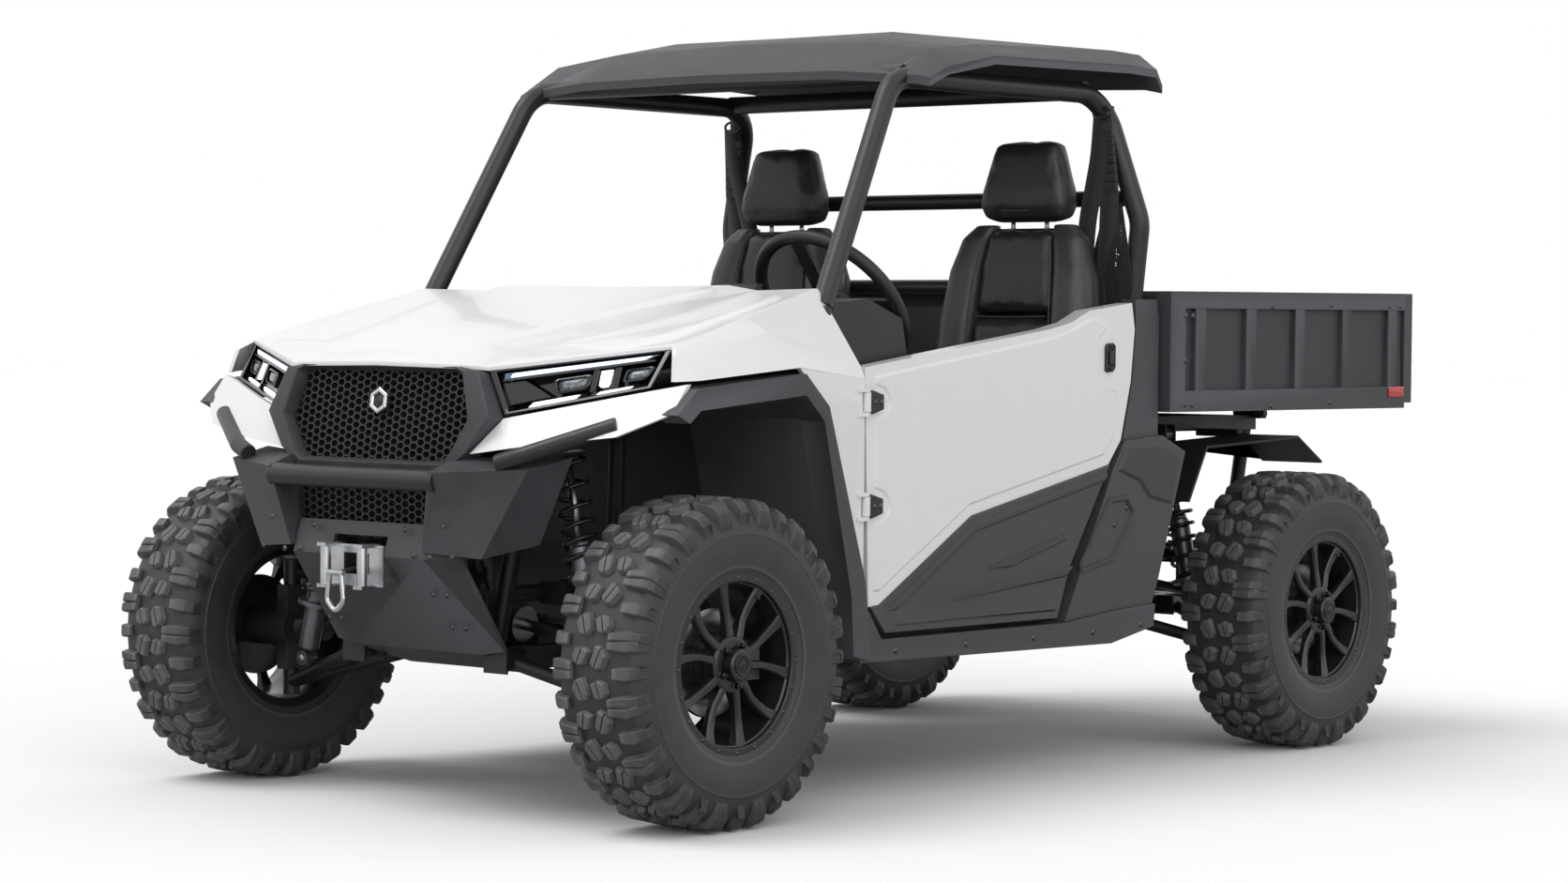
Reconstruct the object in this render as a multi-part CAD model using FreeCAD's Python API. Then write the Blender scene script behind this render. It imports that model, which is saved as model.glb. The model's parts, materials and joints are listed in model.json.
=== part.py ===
import FreeCAD, Part
import math
import os
from types import SimpleNamespace
from FreeCAD import Placement, Rotation, Vector

# Side by side utility vehicle, in millimetres.
# The front looks along -Y, the driver sits on the +X side and +Z is up.
# Lengths along the vehicle are given as distances behind the front axle.

os.makedirs("parts", exist_ok=True)
doc = FreeCAD.newDocument("side_by_side")

# Driving sizes
SIZES = [
    ("wheelbase", 2300, "front axle to rear axle"),
    ("front_reach", 420, "front axle to the foremost point"),
    ("rear_reach", 600, "rear axle to the rearmost point"),
    ("track", 1400, "between the middles of the left and right tyres"),
    ("tyre_radius", 356, "over the tread, 28 inch tyre"),
    ("tyre_width", 240, "widest part of the sidewalls"),
    ("tread_width", 224, "across the tread and its shoulders"),
    ("carcass_depth", 14, "tread lugs stand this far over the carcass"),
    ("rim_radius", 196, "outside of the rim flange"),
    ("bead_radius", 178, "14 inch rim seat"),
    ("rim_width", 204, "over both rim flanges"),
    ("rim_wall", 7, "barrel thickness"),
    ("hub_radius", 62, "wheel centre"),
    ("spoke_pairs", 5, "pairs of spokes in a rim"),
    ("spindle_radius", 22, "stub axle that carries a wheel"),
    ("running_gap", 0.4, "between a shaft and its bore"),
    ("disc_radius", 118, "brake disc"),
    ("disc_thickness", 6, "brake disc"),
    ("kingpin_inset", 100, "steering axis inside the tyre's middle plane"),
    ("body_half_width", 705, "outer face of the doors"),
    ("flare_half_width", 760, "outer face of the wheel arch trims"),
    ("rail_height", 335, "middle of the lower frame rails"),
    ("rail_half_gap", 190, "middle plane to each lower frame rail"),
    ("rail_size", 50, "square frame rail"),
    ("floor_height", 375, "top of the cab floor"),
    ("sheet_thickness", 8, "moulded tub and liner walls"),
    ("skin_thickness", 12, "bonnet and wing mouldings"),
    ("door_thickness", 45, "whole door"),
    ("door_front", 536, "front edge of the doors behind the front axle"),
    ("door_gap", 9, "round the doors"),
    ("cowl_behind", 480, "rear edge of the bonnet behind the front axle"),
    ("cowl_height", 1165, "rear edge of the bonnet"),
    ("cage_radius", 25, "roll cage tube"),
    ("cage_bend", 110, "roll cage bends, at the middle of the tube"),
    ("cage_top", 1655, "middle of the roof tubes"),
    ("frame_radius", 19, "round frame tubes"),
    ("arm_radius", 16, "suspension arm tubes"),
    ("spring_radius", 42, "coil spring, outside"),
    ("damper_radius", 24, "damper body"),
    ("seat_offset", 385, "middle of each seat"),
    ("seat_width", 500, "over the side bolsters"),
    ("seat_height", 830, "top of the seat cushion"),
    ("wheel_rim_radius", 195, "steering wheel, to the middle of its rim"),
    ("wheel_grip_radius", 16, "steering wheel rim section"),
    ("wheel_behind", 800, "steering wheel centre behind the front axle"),
    ("wheel_height", 1130, "steering wheel centre"),
    ("wheel_tilt", 38, "steering column above the level, degrees"),
    ("roof_half_width", 660, "outer edge of the roof"),
    ("roof_top", 1785, "highest point of the roof"),
    ("bed_half_width", 715, "outer face of the bed's sides"),
    ("bed_ahead", 580, "front of the bed ahead of the rear axle"),
    ("bed_behind", 520, "rear edge of the bed's sides behind the rear axle"),
    ("bed_floor_height", 872, "underside of the bed"),
    ("bed_rail_height", 1180, "top of the bed's rails"),
    ("bed_wall", 38, "bed walls"),
    ("bumper_radius", 25, "cross tube of the bumper"),
    ("side_tube_radius", 19, "side tubes of the bumper"),
]
sheet = doc.addObject("Spreadsheet::Sheet", "Sizes")
for row, (alias, value, meaning) in enumerate(SIZES, start=1):
    sheet.set(f"A{row}", str(value))
    sheet.setAlias(f"A{row}", alias)
    sheet.set(f"B{row}", meaning)
doc.recompute()
size = SimpleNamespace(**{alias: float(sheet.get(alias)) for alias, value, meaning in SIZES})

# Places worked out from the driving sizes
vehicle_length = size.front_reach + size.wheelbase + size.rear_reach
front_axle = -vehicle_length / 2 + size.front_reach
rear_axle = front_axle + size.wheelbase
half_track = size.track / 2
kingpin_x = half_track - size.kingpin_inset
hub_height = size.tyre_radius
bed_front = size.wheelbase - size.bed_ahead
bed_rear = size.wheelbase + size.bed_behind

pieces = []


def at(x, behind, up):
    """Point in the vehicle's frame, from its distance behind the front axle."""
    return Vector(x, front_axle + behind, up)


def mirrored(shape):
    """The same shape on the other side of the vehicle."""
    return shape.mirror(Vector(0, 0, 0), Vector(1, 0, 0))


def both_sides(shape):
    """A shape of the +X side together with its mirror image."""
    return Part.makeCompound([shape, mirrored(shape)])


def fused(shapes):
    """One solid from pieces that overlap or share faces."""
    return shapes[0].fuse(shapes[1:]).removeSplitter()


def publish(name, shape):
    """Keep a shape as a sub-part of the document."""
    feature = doc.addObject("Part::Feature", name)
    feature.Label = name
    feature.Shape = shape
    pieces.append(feature)
    return feature


def faceted(corners, loops):
    """Closed solid from corner points and loops of corner numbers, split where they aren't flat."""
    faces = []
    for loop in loops:
        for second, third in zip(loop[1:], loop[2:]):
            corner_points = [corners[loop[0]], corners[second], corners[third]]
            area = (corner_points[1] - corner_points[0]).cross(corner_points[2] - corner_points[0])
            if area.Length > 1e-6:
                faces.append(Part.Face(Part.makePolygon(corner_points + corner_points[:1])))
    shell = Part.Shell(faces)
    shell.sewShape()
    solid = Part.makeSolid(Part.Shell(shell.Faces))
    if solid.Volume < 0:
        solid.reverse()
    return solid.removeSplitter()


def skin(rows, offset):
    """Panel whose outer face runs through rows of points and whose inner face is moved by offset."""
    across = len(rows[0])
    outer = [point for row in rows for point in row]
    inner = [point + offset for point in outer]
    count = len(outer)
    loops = []
    for j in range(len(rows) - 1):
        for i in range(across - 1):
            a = j * across + i
            loops.append([a, a + 1, a + across + 1, a + across])
            loops.append([count + a, count + a + across, count + a + across + 1, count + a + 1])
    first_row = list(range(across))
    last_row = list(range(count - across, count))
    left = list(range(0, count, across))
    right = list(range(across - 1, count, across))
    for edge in (first_row[::-1], right[::-1], last_row, left):
        for a, b in zip(edge, edge[1:]):
            loops.append([a, b, count + b, count + a])
    return faceted(outer + inner, loops)


def hexahedron(bottom, top):
    """Solid with four corners below and four above, both in the same turning order."""
    loops = [[3, 2, 1, 0], [4, 5, 6, 7]]
    loops += [[i, (i + 1) % 4, (i + 1) % 4 + 4, i + 4] for i in range(4)]
    return faceted(bottom + top, loops)


def side_plate(outline, x_inner, x_outer):
    """Plate with a side outline of (behind, up) points, between two distances from the middle."""
    points = [at(x_inner, behind, up) for behind, up in outline]
    face = Part.Face(Part.makePolygon(points + points[:1]))
    return face.extrude(Vector(x_outer - x_inner, 0, 0))


def wide_plate(outline, half_width):
    """Plate with a side outline that reaches equally far to both sides."""
    return side_plate(outline, -half_width, half_width)


def ribbon(line, thickness):
    """Closed outline round a line of (behind, up) points, its thickness to the right of travel."""
    shifted = []
    for index, (behind, up) in enumerate(line):
        before = line[max(index - 1, 0)]
        after = line[min(index + 1, len(line) - 1)]
        normals = []
        for start, end in ((before, (behind, up)), ((behind, up), after)):
            run = math.dist(start, end)
            if run > 0:
                normals.append(((end[1] - start[1]) / run, -(end[0] - start[0]) / run))
        nx = sum(n[0] for n in normals) / len(normals)
        ny = sum(n[1] for n in normals) / len(normals)
        scale = thickness / (nx * nx + ny * ny)
        shifted.append((behind + nx * scale, up + ny * scale))
    return list(line) + shifted[::-1]


def box(x0, x1, behind0, behind1, z0, z1):
    """Box between two distances in each direction."""
    return Part.makeBox(x1 - x0, behind1 - behind0, z1 - z0, at(x0, behind0, z0))


def rod(start, end, radius):
    """Round bar between two points."""
    along = end - start
    return Part.makeCylinder(radius, along.Length, start, along)


def tube(points, radius, bend):
    """Round tube through points, with an arc of radius bend at each corner."""
    edges = []
    start = points[0]
    for before, corner, after in zip(points, points[1:], points[2:]):
        run_in = (corner - before).normalize()
        run_out = (after - corner).normalize()
        turn = run_in.getAngle(run_out)
        back = bend * math.tan(turn / 2)
        begin = corner - run_in * back
        end = corner + run_out * back
        inward = (run_out - run_in).normalize()
        middle = corner + inward * (bend / math.cos(turn / 2) - bend)
        edges.append(Part.LineSegment(start, begin).toShape())
        edges.append(Part.Arc(begin, middle, end).toShape())
        start = end
    edges.append(Part.LineSegment(start, points[-1]).toShape())
    circle = Part.Wire(Part.makeCircle(radius, points[0], points[1] - points[0]))
    return Part.Wire(edges).makePipeShell([circle], True, False)


def revolved_about_x(profile, x):
    """Ring about the wheel's axis from (outward, radius) points, centred at distance x."""
    points = [Vector(x + outward, 0, radius) for outward, radius in profile]
    face = Part.Face(Part.makePolygon(points + points[:1]))
    return face.revolve(Vector(0, 0, 0), Vector(1, 0, 0), 360)


# Wheels
def tyre_shape():
    """Tyre of the +X side about the origin, hollow and open to the rim."""
    half = size.tyre_width / 2
    tread = size.tread_width / 2
    bead = size.rim_width / 2 - 14
    top = size.tyre_radius
    seat = size.bead_radius
    wall = 15
    outer = [
        (-bead, seat), (-bead - 4, seat + 22), (-half, (seat + top) / 2), (-tread, top - 24),
        (-tread + 22, top - 4), (0, top),
        (tread - 22, top - 4), (tread, top - 24), (half, (seat + top) / 2), (bead + 4, seat + 22),
        (bead, seat),
    ]
    crown = top - size.carcass_depth - wall
    inner = [
        (bead - wall, seat), (half - wall, (seat + top) / 2), (tread - wall, crown - 12),
        (-tread + wall, crown - 12), (-half + wall, (seat + top) / 2), (-bead + wall, seat),
    ]
    return revolved_about_x(outer + inner, 0)


def spoke_outline(lean):
    """One spoke as seen from outside, reaching from the hub to the barrel."""
    reach = size.bead_radius - size.rim_wall - 3
    root = size.hub_radius - 8
    side = 1 if lean > 0 else -1
    return [
        Vector(0, side * 6, root), Vector(0, side * 26, root),
        Vector(0, side * 44, reach), Vector(0, side * 22, reach),
    ]


def rim_shape():
    """Rim of the +X side about the origin: barrel, spokes, hub, brake disc and bearing bore."""
    half = size.rim_width / 2
    seat = size.bead_radius
    wall = size.rim_wall
    gap = size.running_gap
    barrel = revolved_about_x([
        (-half, size.rim_radius), (-half, seat - wall), (half, seat - wall),
        (half, size.rim_radius), (half - 8, size.rim_radius), (half - 13, seat - 0.1),
        (-half + 13, seat - 0.1), (-half + 8, size.rim_radius),
    ], 0)
    face_depth = half - 26
    hub = Part.makeCylinder(size.hub_radius, 74, Vector(face_depth - 56, 0, 0), Vector(1, 0, 0))
    cap = Part.makeCylinder(34, 22, Vector(face_depth + 18, 0, 0), Vector(1, 0, 0))
    shapes = [barrel, hub, cap]
    for pair in range(int(size.spoke_pairs)):
        for lean in (-1, 1):
            points = spoke_outline(lean)
            face = Part.Face(Part.makePolygon(points + points[:1]))
            spoke = face.extrude(Vector(20, 0, 0))
            spoke.translate(Vector(face_depth - 14, 0, 0))
            spoke.rotate(Vector(0, 0, 0), Vector(1, 0, 0), pair * 360 / size.spoke_pairs)
            shapes.append(spoke)
    disc = Part.makeCylinder(size.disc_radius, size.disc_thickness,
                             Vector(face_depth - 56, 0, 0), Vector(1, 0, 0))
    shapes.append(disc)
    bore = Part.makeCylinder(size.spindle_radius + gap, 50, Vector(face_depth - 60, 0, 0), Vector(1, 0, 0))
    return fused(shapes).cut(bore)


disc_inner_x = size.rim_width / 2 - 26 - 56
spindle_end = disc_inner_x + 40
tyre = tyre_shape()
rim = rim_shape()
corners = {
    "front_left": Vector(half_track, front_axle, hub_height),
    "front_right": Vector(-half_track, front_axle, hub_height),
    "rear_left": Vector(half_track, rear_axle, hub_height),
    "rear_right": Vector(-half_track, rear_axle, hub_height),
}
for corner, centre in corners.items():
    for piece, shape in (("tyre", tyre), ("rim", rim)):
        placed = shape.copy() if centre.x > 0 else mirrored(shape)
        placed.translate(centre)
        publish(f"{piece}_{corner}", placed)


# Knuckles, with the stub axle, brake caliper and steering arm
upper_joint = Vector(0, 0, 100)
lower_joint = Vector(0, 0, -98)
tie_arm_behind = 105
tie_arm_height = 30


def caliper_shape(disc_x):
    """Brake caliper over the disc's rear edge, about the wheel centre."""
    gap = 3
    inner = disc_x - gap
    outer = disc_x + size.disc_thickness + gap
    body = Part.makeBox(outer - inner + 44, 46, 84, Vector(inner - 26, size.disc_radius - 30, -42))
    slot = Part.makeBox(outer - inner, 62, 100, Vector(inner, size.disc_radius - 58, -50))
    return body.cut(slot)


def knuckle_shape():
    """Steering knuckle of the +X side about the point where kingpin and wheel axis meet."""
    inset = size.kingpin_inset
    disc_x = inset + disc_inner_x
    upright = Part.makeBox(34, 64, upper_joint.z - lower_joint.z, Vector(-17, -32, lower_joint.z))
    boss = Part.makeCylinder(46, disc_x - 8 + 17, Vector(-17, 0, 0), Vector(1, 0, 0))
    spindle = Part.makeCylinder(size.spindle_radius, inset + spindle_end, Vector(0, 0, 0), Vector(1, 0, 0))
    arm = Part.makeBox(26, tie_arm_behind, 18, Vector(-13, 0, tie_arm_height - 18))
    eye = Part.makeCylinder(19, 18, Vector(0, tie_arm_behind, tie_arm_height - 18), Vector(0, 0, 1))
    bridge = Part.makeBox(disc_x - 20, 40, 44, Vector(0, 40, -22))
    bracket = Part.makeBox(12, size.disc_radius - 20, 60, Vector(disc_x - 29, 20, -30))
    body = fused([upright, boss, spindle, arm, eye, bridge, bracket, caliper_shape(disc_x)])
    return body


knuckle = knuckle_shape()
knuckle.translate(Vector(kingpin_x, front_axle, hub_height))
publish("knuckle_left", knuckle)
publish("knuckle_right", mirrored(knuckle))

# Steering rack and tie rods, above the ends of the steering arms
rack_behind = tie_arm_behind
rack_height = hub_height + tie_arm_height + 12
rod_end = rod(at(kingpin_x, rack_behind, rack_height - 10), at(kingpin_x, rack_behind, rack_height + 10), 17)
tie_rod = rod(at(190, rack_behind, rack_height), at(kingpin_x, rack_behind, rack_height), 9)
rack_radius = 13
rack_bar = rod(at(-200, rack_behind, rack_height), at(200, rack_behind, rack_height), rack_radius)
publish("steering_rack", fused([rack_bar, tie_rod, mirrored(tie_rod), rod_end, mirrored(rod_end)]))


# Frame
arm_inner = size.rail_half_gap + size.rail_size / 2 + 24
upper_inner = arm_inner + 30
upper_rail_height = 480
rail_end = size.wheelbase + size.bed_behind - 40
rail_low = size.rail_height - size.rail_size / 2
rail_top = size.rail_height + size.rail_size / 2
bed_beam_top = 845
bush_half_length = 28
front_lower_pivots = (-115, 160)
front_upper_pivots = (40, 225)
rear_lower_pivots = (size.wheelbase - 210, size.wheelbase + 130)
rear_upper_pivots = (size.wheelbase + 20, size.wheelbase + 190)
tub_half_width = size.body_half_width - size.door_thickness - size.door_gap
winch_floor = 488
bed_hinge_behind = bed_rear - 90
bed_hinge_height = size.bed_floor_height - 22
bed_pin_radius = 10
lug_inner_x = 296
lug_outer_x = 324
buffer_behind = bed_front + 90
socket_half = 25.4
hitch_pin_radius = 8.1
receiver_half = socket_half + 6.4


eye_half_length = 18
front_shock_top = at(345, -60, 828)
rear_shock_top = at(335, size.wheelbase - 60, 800)


def pivot_bracket(x_from, x_to, behind, up, half_length):
    """Two plates that hold a suspension bush between them."""
    plates = []
    for start in (behind - half_length - 6.5, behind + half_length + 0.5):
        plates.append(box(x_from, x_to, start, start + 6, up - 26, up + 26))
    return plates


def frame_shape():
    """Lower rails with cross members, towers for the dampers and the carrier of the bed."""
    half = size.rail_size / 2
    gap = size.rail_half_gap
    low = size.rail_height
    rail = side_plate([(-150, rail_top), (rail_end, rail_top), (rail_end, rail_low), (10, rail_low)],
                      gap - half, gap + half)
    shapes = [rail, mirrored(rail)]
    for behind in (40, 330, 700, 1000, 1500, size.wheelbase - 330, size.wheelbase + 200, rail_end - half):
        shapes.append(box(-gap, gap, behind - half, behind + half, rail_low, rail_top))
    shapes.append(box(-gap, gap, -150, -110, rail_top - 8, rail_top))
    for behind in (620, 1520):
        shapes.append(box(-tub_half_width, tub_half_width, behind - 20, behind + 20, low - 20, low + 20))
    radius = size.frame_radius
    tower_x = gap + 90
    front_leg = at(gap, -110, rail_top - 6)
    rear_leg = at(gap, 260, low)
    front_tower = tube([front_leg, at(tower_x, -90, 850), at(tower_x, 180, 850), rear_leg], radius, 60)
    upper_rail = rod(at(gap + 22, -112, upper_rail_height), at(gap + 22, 242, upper_rail_height), radius)
    front_cross = rod(at(-tower_x, 40, 850), at(tower_x, 40, 850), radius)
    winch_leg = side_plate([(-150, rail_top - 4), (-110, rail_top - 4), (-168, winch_floor - 4),
                            (-255, winch_floor - 4)], 100, 112)
    winch_plate = box(-135, 135, -262, -165, winch_floor - 8, winch_floor)
    shapes += [front_tower, mirrored(front_tower), upper_rail, mirrored(upper_rail), front_cross,
               winch_leg, mirrored(winch_leg), winch_plate]
    bed_beam = box(gap + 60, gap + 100, bed_front + 20, bed_hinge_behind + 14, 805, bed_beam_top)
    rear_rail_end = rear_upper_pivots[1] + 60
    rear_rail = box(gap - 10, gap + 25, size.wheelbase - 75, rear_rail_end,
                    upper_rail_height - 20, upper_rail_height + 20)
    rear_rail = rear_rail.fuse(box(gap - 10, gap + 15, rear_rail_end - 25, rear_rail_end, rail_top - 5,
                                   upper_rail_height))
    shapes += [bed_beam, mirrored(bed_beam), rear_rail, mirrored(rear_rail)]
    for behind in (bed_front + 60, size.wheelbase - 60, rail_end - 60):
        post = rod(at(gap + 10, behind, low), at(gap + 80, behind, 825), radius)
        cross = rod(at(-gap - 80, behind, 825), at(gap + 80, behind, 825), radius)
        shapes += [post, mirrored(post), cross]
    buffer = box(gap + 62, gap + 98, buffer_behind, buffer_behind + 50, bed_beam_top - 5,
                 size.bed_floor_height - 0.3)
    bed_pin = rod(at(gap + 40, bed_hinge_behind, bed_hinge_height),
                  at(lug_outer_x + 6, bed_hinge_behind, bed_hinge_height), bed_pin_radius)
    pin_ear = box(gap + 44, gap + 60, bed_hinge_behind - 12, bed_hinge_behind + 12, 810, bed_hinge_height + 10)
    shapes += [buffer, mirrored(buffer), bed_pin, mirrored(bed_pin), pin_ear, mirrored(pin_ear)]
    brackets = []
    for behind in front_lower_pivots + rear_lower_pivots:
        brackets += pivot_bracket(gap, arm_inner + 22, behind, low, bush_half_length)
    for behind in front_upper_pivots:
        brackets += pivot_bracket(gap + 20, upper_inner + 20, behind, upper_rail_height, bush_half_length)
    for behind in rear_upper_pivots:
        brackets += pivot_bracket(gap + 10, upper_inner + 20, behind, upper_rail_height, bush_half_length)
    brackets += pivot_bracket(tower_x - 5, front_shock_top.x + 20, -60, front_shock_top.z, eye_half_length)
    brackets += pivot_bracket(gap + 80, rear_shock_top.x + 20, size.wheelbase - 60, rear_shock_top.z,
                              eye_half_length)
    shapes += brackets + [mirrored(plate) for plate in brackets]
    for x in (-90, 66):
        shapes.append(box(x, x + 24, rack_behind - 20, rack_behind + 20, rail_low, rack_height))
        shapes.append(box(x, x + 24, 40, rack_behind + 20, rail_low, rail_top))
    housing = rod(at(-125, rack_behind, rack_height), at(125, rack_behind, rack_height), 24)
    rack_bore = rod(at(-200, rack_behind, rack_height), at(200, rack_behind, rack_height),
                    rack_radius + size.running_gap)
    receiver_end = size.wheelbase + size.rear_reach
    receiver = box(-receiver_half, receiver_half, rail_end - 60, receiver_end, low - receiver_half,
                   low + receiver_half)
    socket = box(-socket_half, socket_half, rail_end, receiver_end + 10, low - socket_half, low + socket_half)
    pin_behind = receiver_end - 40
    pin_bore = rod(at(-50, pin_behind, low), at(50, pin_behind, low), hitch_pin_radius)
    return fused(shapes + [housing, receiver]).cut(rack_bore).cut(socket).cut(pin_bore)


frame = frame_shape()


# Suspension
arm_boss_half = size.arm_radius + 14


def arm_pair(inner_front, inner_rear, outer, radius, plate_share):
    """Suspension arm: two tubes that meet at the outer joint, bushes inside and a gusset."""
    outer_end = rod(outer - Vector(0, 0, arm_boss_half), outer + Vector(0, 0, arm_boss_half), 20)
    shapes = [rod(inner_front, outer, radius), rod(inner_rear, outer, radius), outer_end]
    for inner in (inner_front, inner_rear):
        along = Vector(0, bush_half_length, 0)
        shapes.append(rod(inner - along, inner + along, radius + 6))
    if plate_share:
        front = outer + (inner_front - outer) * plate_share
        rear = outer + (inner_rear - outer) * plate_share
        edge = Part.makePolygon([outer, front, rear, outer])
        plate = Part.Face(edge).extrude(Vector(0, 0, 6))
        plate.translate(Vector(0, 0, -3))
        shapes.append(plate)
    return fused(shapes)


joint_face_gap = 0.5
lower_arm_height = hub_height + lower_joint.z - joint_face_gap - arm_boss_half
upper_arm_height = hub_height + upper_joint.z + joint_face_gap + arm_boss_half
front_lower = arm_pair(at(arm_inner, front_lower_pivots[0], size.rail_height),
                       at(arm_inner, front_lower_pivots[1], size.rail_height),
                       at(kingpin_x, 0, lower_arm_height), size.arm_radius, 0.45)
front_upper = arm_pair(at(upper_inner, front_upper_pivots[0], upper_rail_height),
                       at(upper_inner, front_upper_pivots[1], upper_rail_height),
                       at(kingpin_x, 0, upper_arm_height), size.arm_radius - 2, 0)


def rear_corner():
    """Rear arms with the hub carrier that holds the wheel's stub axle."""
    behind = size.wheelbase
    carrier_x = kingpin_x
    disc_x = half_track + disc_inner_x
    lower = arm_pair(at(arm_inner, rear_lower_pivots[0], size.rail_height),
                     at(arm_inner, rear_lower_pivots[1], size.rail_height),
                     at(carrier_x, behind, lower_arm_height), size.arm_radius, 0.45)
    upper = arm_pair(at(upper_inner, rear_upper_pivots[0], upper_rail_height),
                     at(upper_inner, rear_upper_pivots[1], upper_rail_height),
                     at(carrier_x, behind + 10, upper_arm_height), size.arm_radius - 2, 0)
    upright = Part.makeBox(40, 70, upper_arm_height - lower_arm_height,
                           at(carrier_x - 20, behind - 35, lower_arm_height))
    boss = rod(at(carrier_x, behind, hub_height), at(disc_x - 8, behind, hub_height), 44)
    spindle = rod(at(carrier_x, behind, hub_height), at(half_track + spindle_end, behind, hub_height),
                  size.spindle_radius)
    caliper = caliper_shape(disc_x)
    caliper.translate(at(0, behind, hub_height))
    bracket = box(disc_x - 29, disc_x - 17, behind + 20, behind + size.disc_radius, hub_height - 30,
                  hub_height + 30)
    return fused([lower, upper, upright, boss, spindle, caliper, bracket])




spring_coils = 9


def shock_shape(bottom, top):
    """Coil spring damper between two points: eyes, body, rod and spring envelope."""
    along = (top - bottom).normalize()
    length = (top - bottom).Length
    shapes = []
    for end in (bottom, top):
        half_eye = Vector(0, eye_half_length, 0)
        shapes.append(rod(end - half_eye, end + half_eye, 17))
    shapes.append(rod(bottom, bottom + along * length * 0.4, size.damper_radius))
    shapes.append(rod(bottom, top, 9))
    spring_start = bottom + along * length * 0.26
    spring_end = top - along * 40
    spring_length = (spring_end - spring_start).Length
    pitch = spring_length / spring_coils
    core = size.spring_radius - 11
    profile = [Vector(8, 0, -10), Vector(size.spring_radius + 3, 0, -10), Vector(size.spring_radius + 3, 0, 0)]
    for turn in range(spring_coils):
        low = turn * pitch
        profile += [Vector(core, 0, low), Vector(core, 0, low + pitch * 0.3),
                    Vector(size.spring_radius, 0, low + pitch * 0.5), Vector(core, 0, low + pitch * 0.7)]
    profile += [Vector(size.spring_radius + 3, 0, spring_length), Vector(size.spring_radius + 3, 0, spring_length + 10),
                Vector(8, 0, spring_length + 10)]
    spring = Part.Face(Part.makePolygon(profile + profile[:1])).revolve(Vector(0, 0, 0), Vector(0, 0, 1), 360)
    spring.Placement = Placement(spring_start, Rotation(Vector(0, 0, 1), along))
    shapes.append(spring)
    return fused(shapes)


shock_foot_x = 470
front_shock_foot = lower_arm_height + 68
front_shock = shock_shape(at(shock_foot_x, -70, front_shock_foot), front_shock_top)
rear_shock = shock_shape(at(shock_foot_x, size.wheelbase - 95, front_shock_foot),
                         rear_shock_top)
publish("suspension_arms_front", both_sides(Part.makeCompound([front_lower.cut(front_shock), front_upper])))
publish("shocks", Part.makeCompound([front_shock, mirrored(front_shock), rear_shock, mirrored(rear_shock)]))

# Drive: motor with gearbox at the rear, front gearbox, battery and shafts
drive_front = size.wheelbase - 190
drive_unit = box(-150, 150, drive_front, size.wheelbase + 170, rail_top, 640)
front_gearbox = box(-110, 110, -60, 70, rail_top, 470)
publish("drive_unit", Part.makeCompound([drive_unit, front_gearbox]))
publish("battery_box", box(-300, 300, 1130, 1560, rail_top, 650))
shaft_outer = kingpin_x - 43
front_shaft = fused([rod(at(100, 0, 415), at(shaft_outer, 0, hub_height), 13),
                     rod(at(100, 0, 415), at(170, 0, 407), 40),
                     rod(at(shaft_outer - 70, 0, hub_height + 8), at(shaft_outer, 0, hub_height), 34)])
rear_shaft_outer = kingpin_x - 20
rear_shaft = fused([rod(at(140, size.wheelbase, 415), at(rear_shaft_outer, size.wheelbase, hub_height), 13),
                    rod(at(140, size.wheelbase, 415), at(210, size.wheelbase, 406), 34)])
rear_corner_solid = rear_corner().cut(rear_shaft).cut(rear_shock)
for neighbour in (front_lower, front_upper, rear_corner_solid, front_shock, rear_shock):
    frame = frame.cut([neighbour, mirrored(neighbour)])
publish("frame", frame)
publish("suspension_rear", both_sides(rear_corner_solid))
front_shaft = front_shaft.cut(front_gearbox)
rear_shaft = rear_shaft.cut(drive_unit)
publish("half_shafts", Part.makeCompound([front_shaft, mirrored(front_shaft), rear_shaft, mirrored(rear_shaft)]))

# Roll cage
pillar_foot = at(632, 470, 1120)
pillar_top = at(580, 775, size.cage_top)
rear_top = at(580, 1600, size.cage_top)
rear_kink = at(672, 1640, 1340)
rear_foot = at(600, 1640, 700)
side_hoop = tube([pillar_foot, pillar_top, rear_top, rear_kink, rear_foot], size.cage_radius, size.cage_bend)
cage_pieces = [side_hoop, mirrored(side_hoop)]
for behind, up in ((820, size.cage_top + 6), (1530, size.cage_top + 6)):
    cage_pieces.append(rod(at(-580, behind, up), at(580, behind, up), size.cage_radius - 2))
cage_pieces.append(rod(at(-655, 1640, 1400), at(655, 1640, 1400), size.cage_radius - 5))
cage_pieces.append(rod(at(-640, 1640, 1180), at(640, 1640, 1180), size.cage_radius - 5))
lower_pillar = tube([pillar_foot, at(640, 462, 1000), at(625, 470, 360)], size.cage_radius - 3, 80)
cage_pieces += [lower_pillar, mirrored(lower_pillar)]
roll_cage = fused(cage_pieces)
publish("roll_cage", roll_cage)


tall_panel_depth = 62

# Cab tub: firewall, foot well, floor and seat riser as one moulding
firewall_behind = 446
riser_behind = 1040
cab_rear = 1600
riser_top = 672
tub_line = [
    (firewall_behind + 30, 1010), (firewall_behind, 560), (560, size.floor_height),
    (riser_behind, size.floor_height), (riser_behind + 40, riser_top), (cab_rear, riser_top),
]
publish("cab_tub", wide_plate(ribbon(tub_line, size.sheet_thickness), tub_half_width).cut(roll_cage))
back_half_width = size.body_half_width - tall_panel_depth
publish("cab_back_panel", box(-back_half_width, back_half_width, cab_rear, cab_rear + 14, 560, 1130))

# Dash with its cowl
dash_outline = [
    (size.cowl_behind + 8, 1128), (620, 1140), (745, 1095), (770, 985), (700, 880), (480, 860),
]
dashboard = wide_plate(dash_outline, tub_half_width - 10).cut(roll_cage)
publish("dashboard", dashboard)


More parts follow.
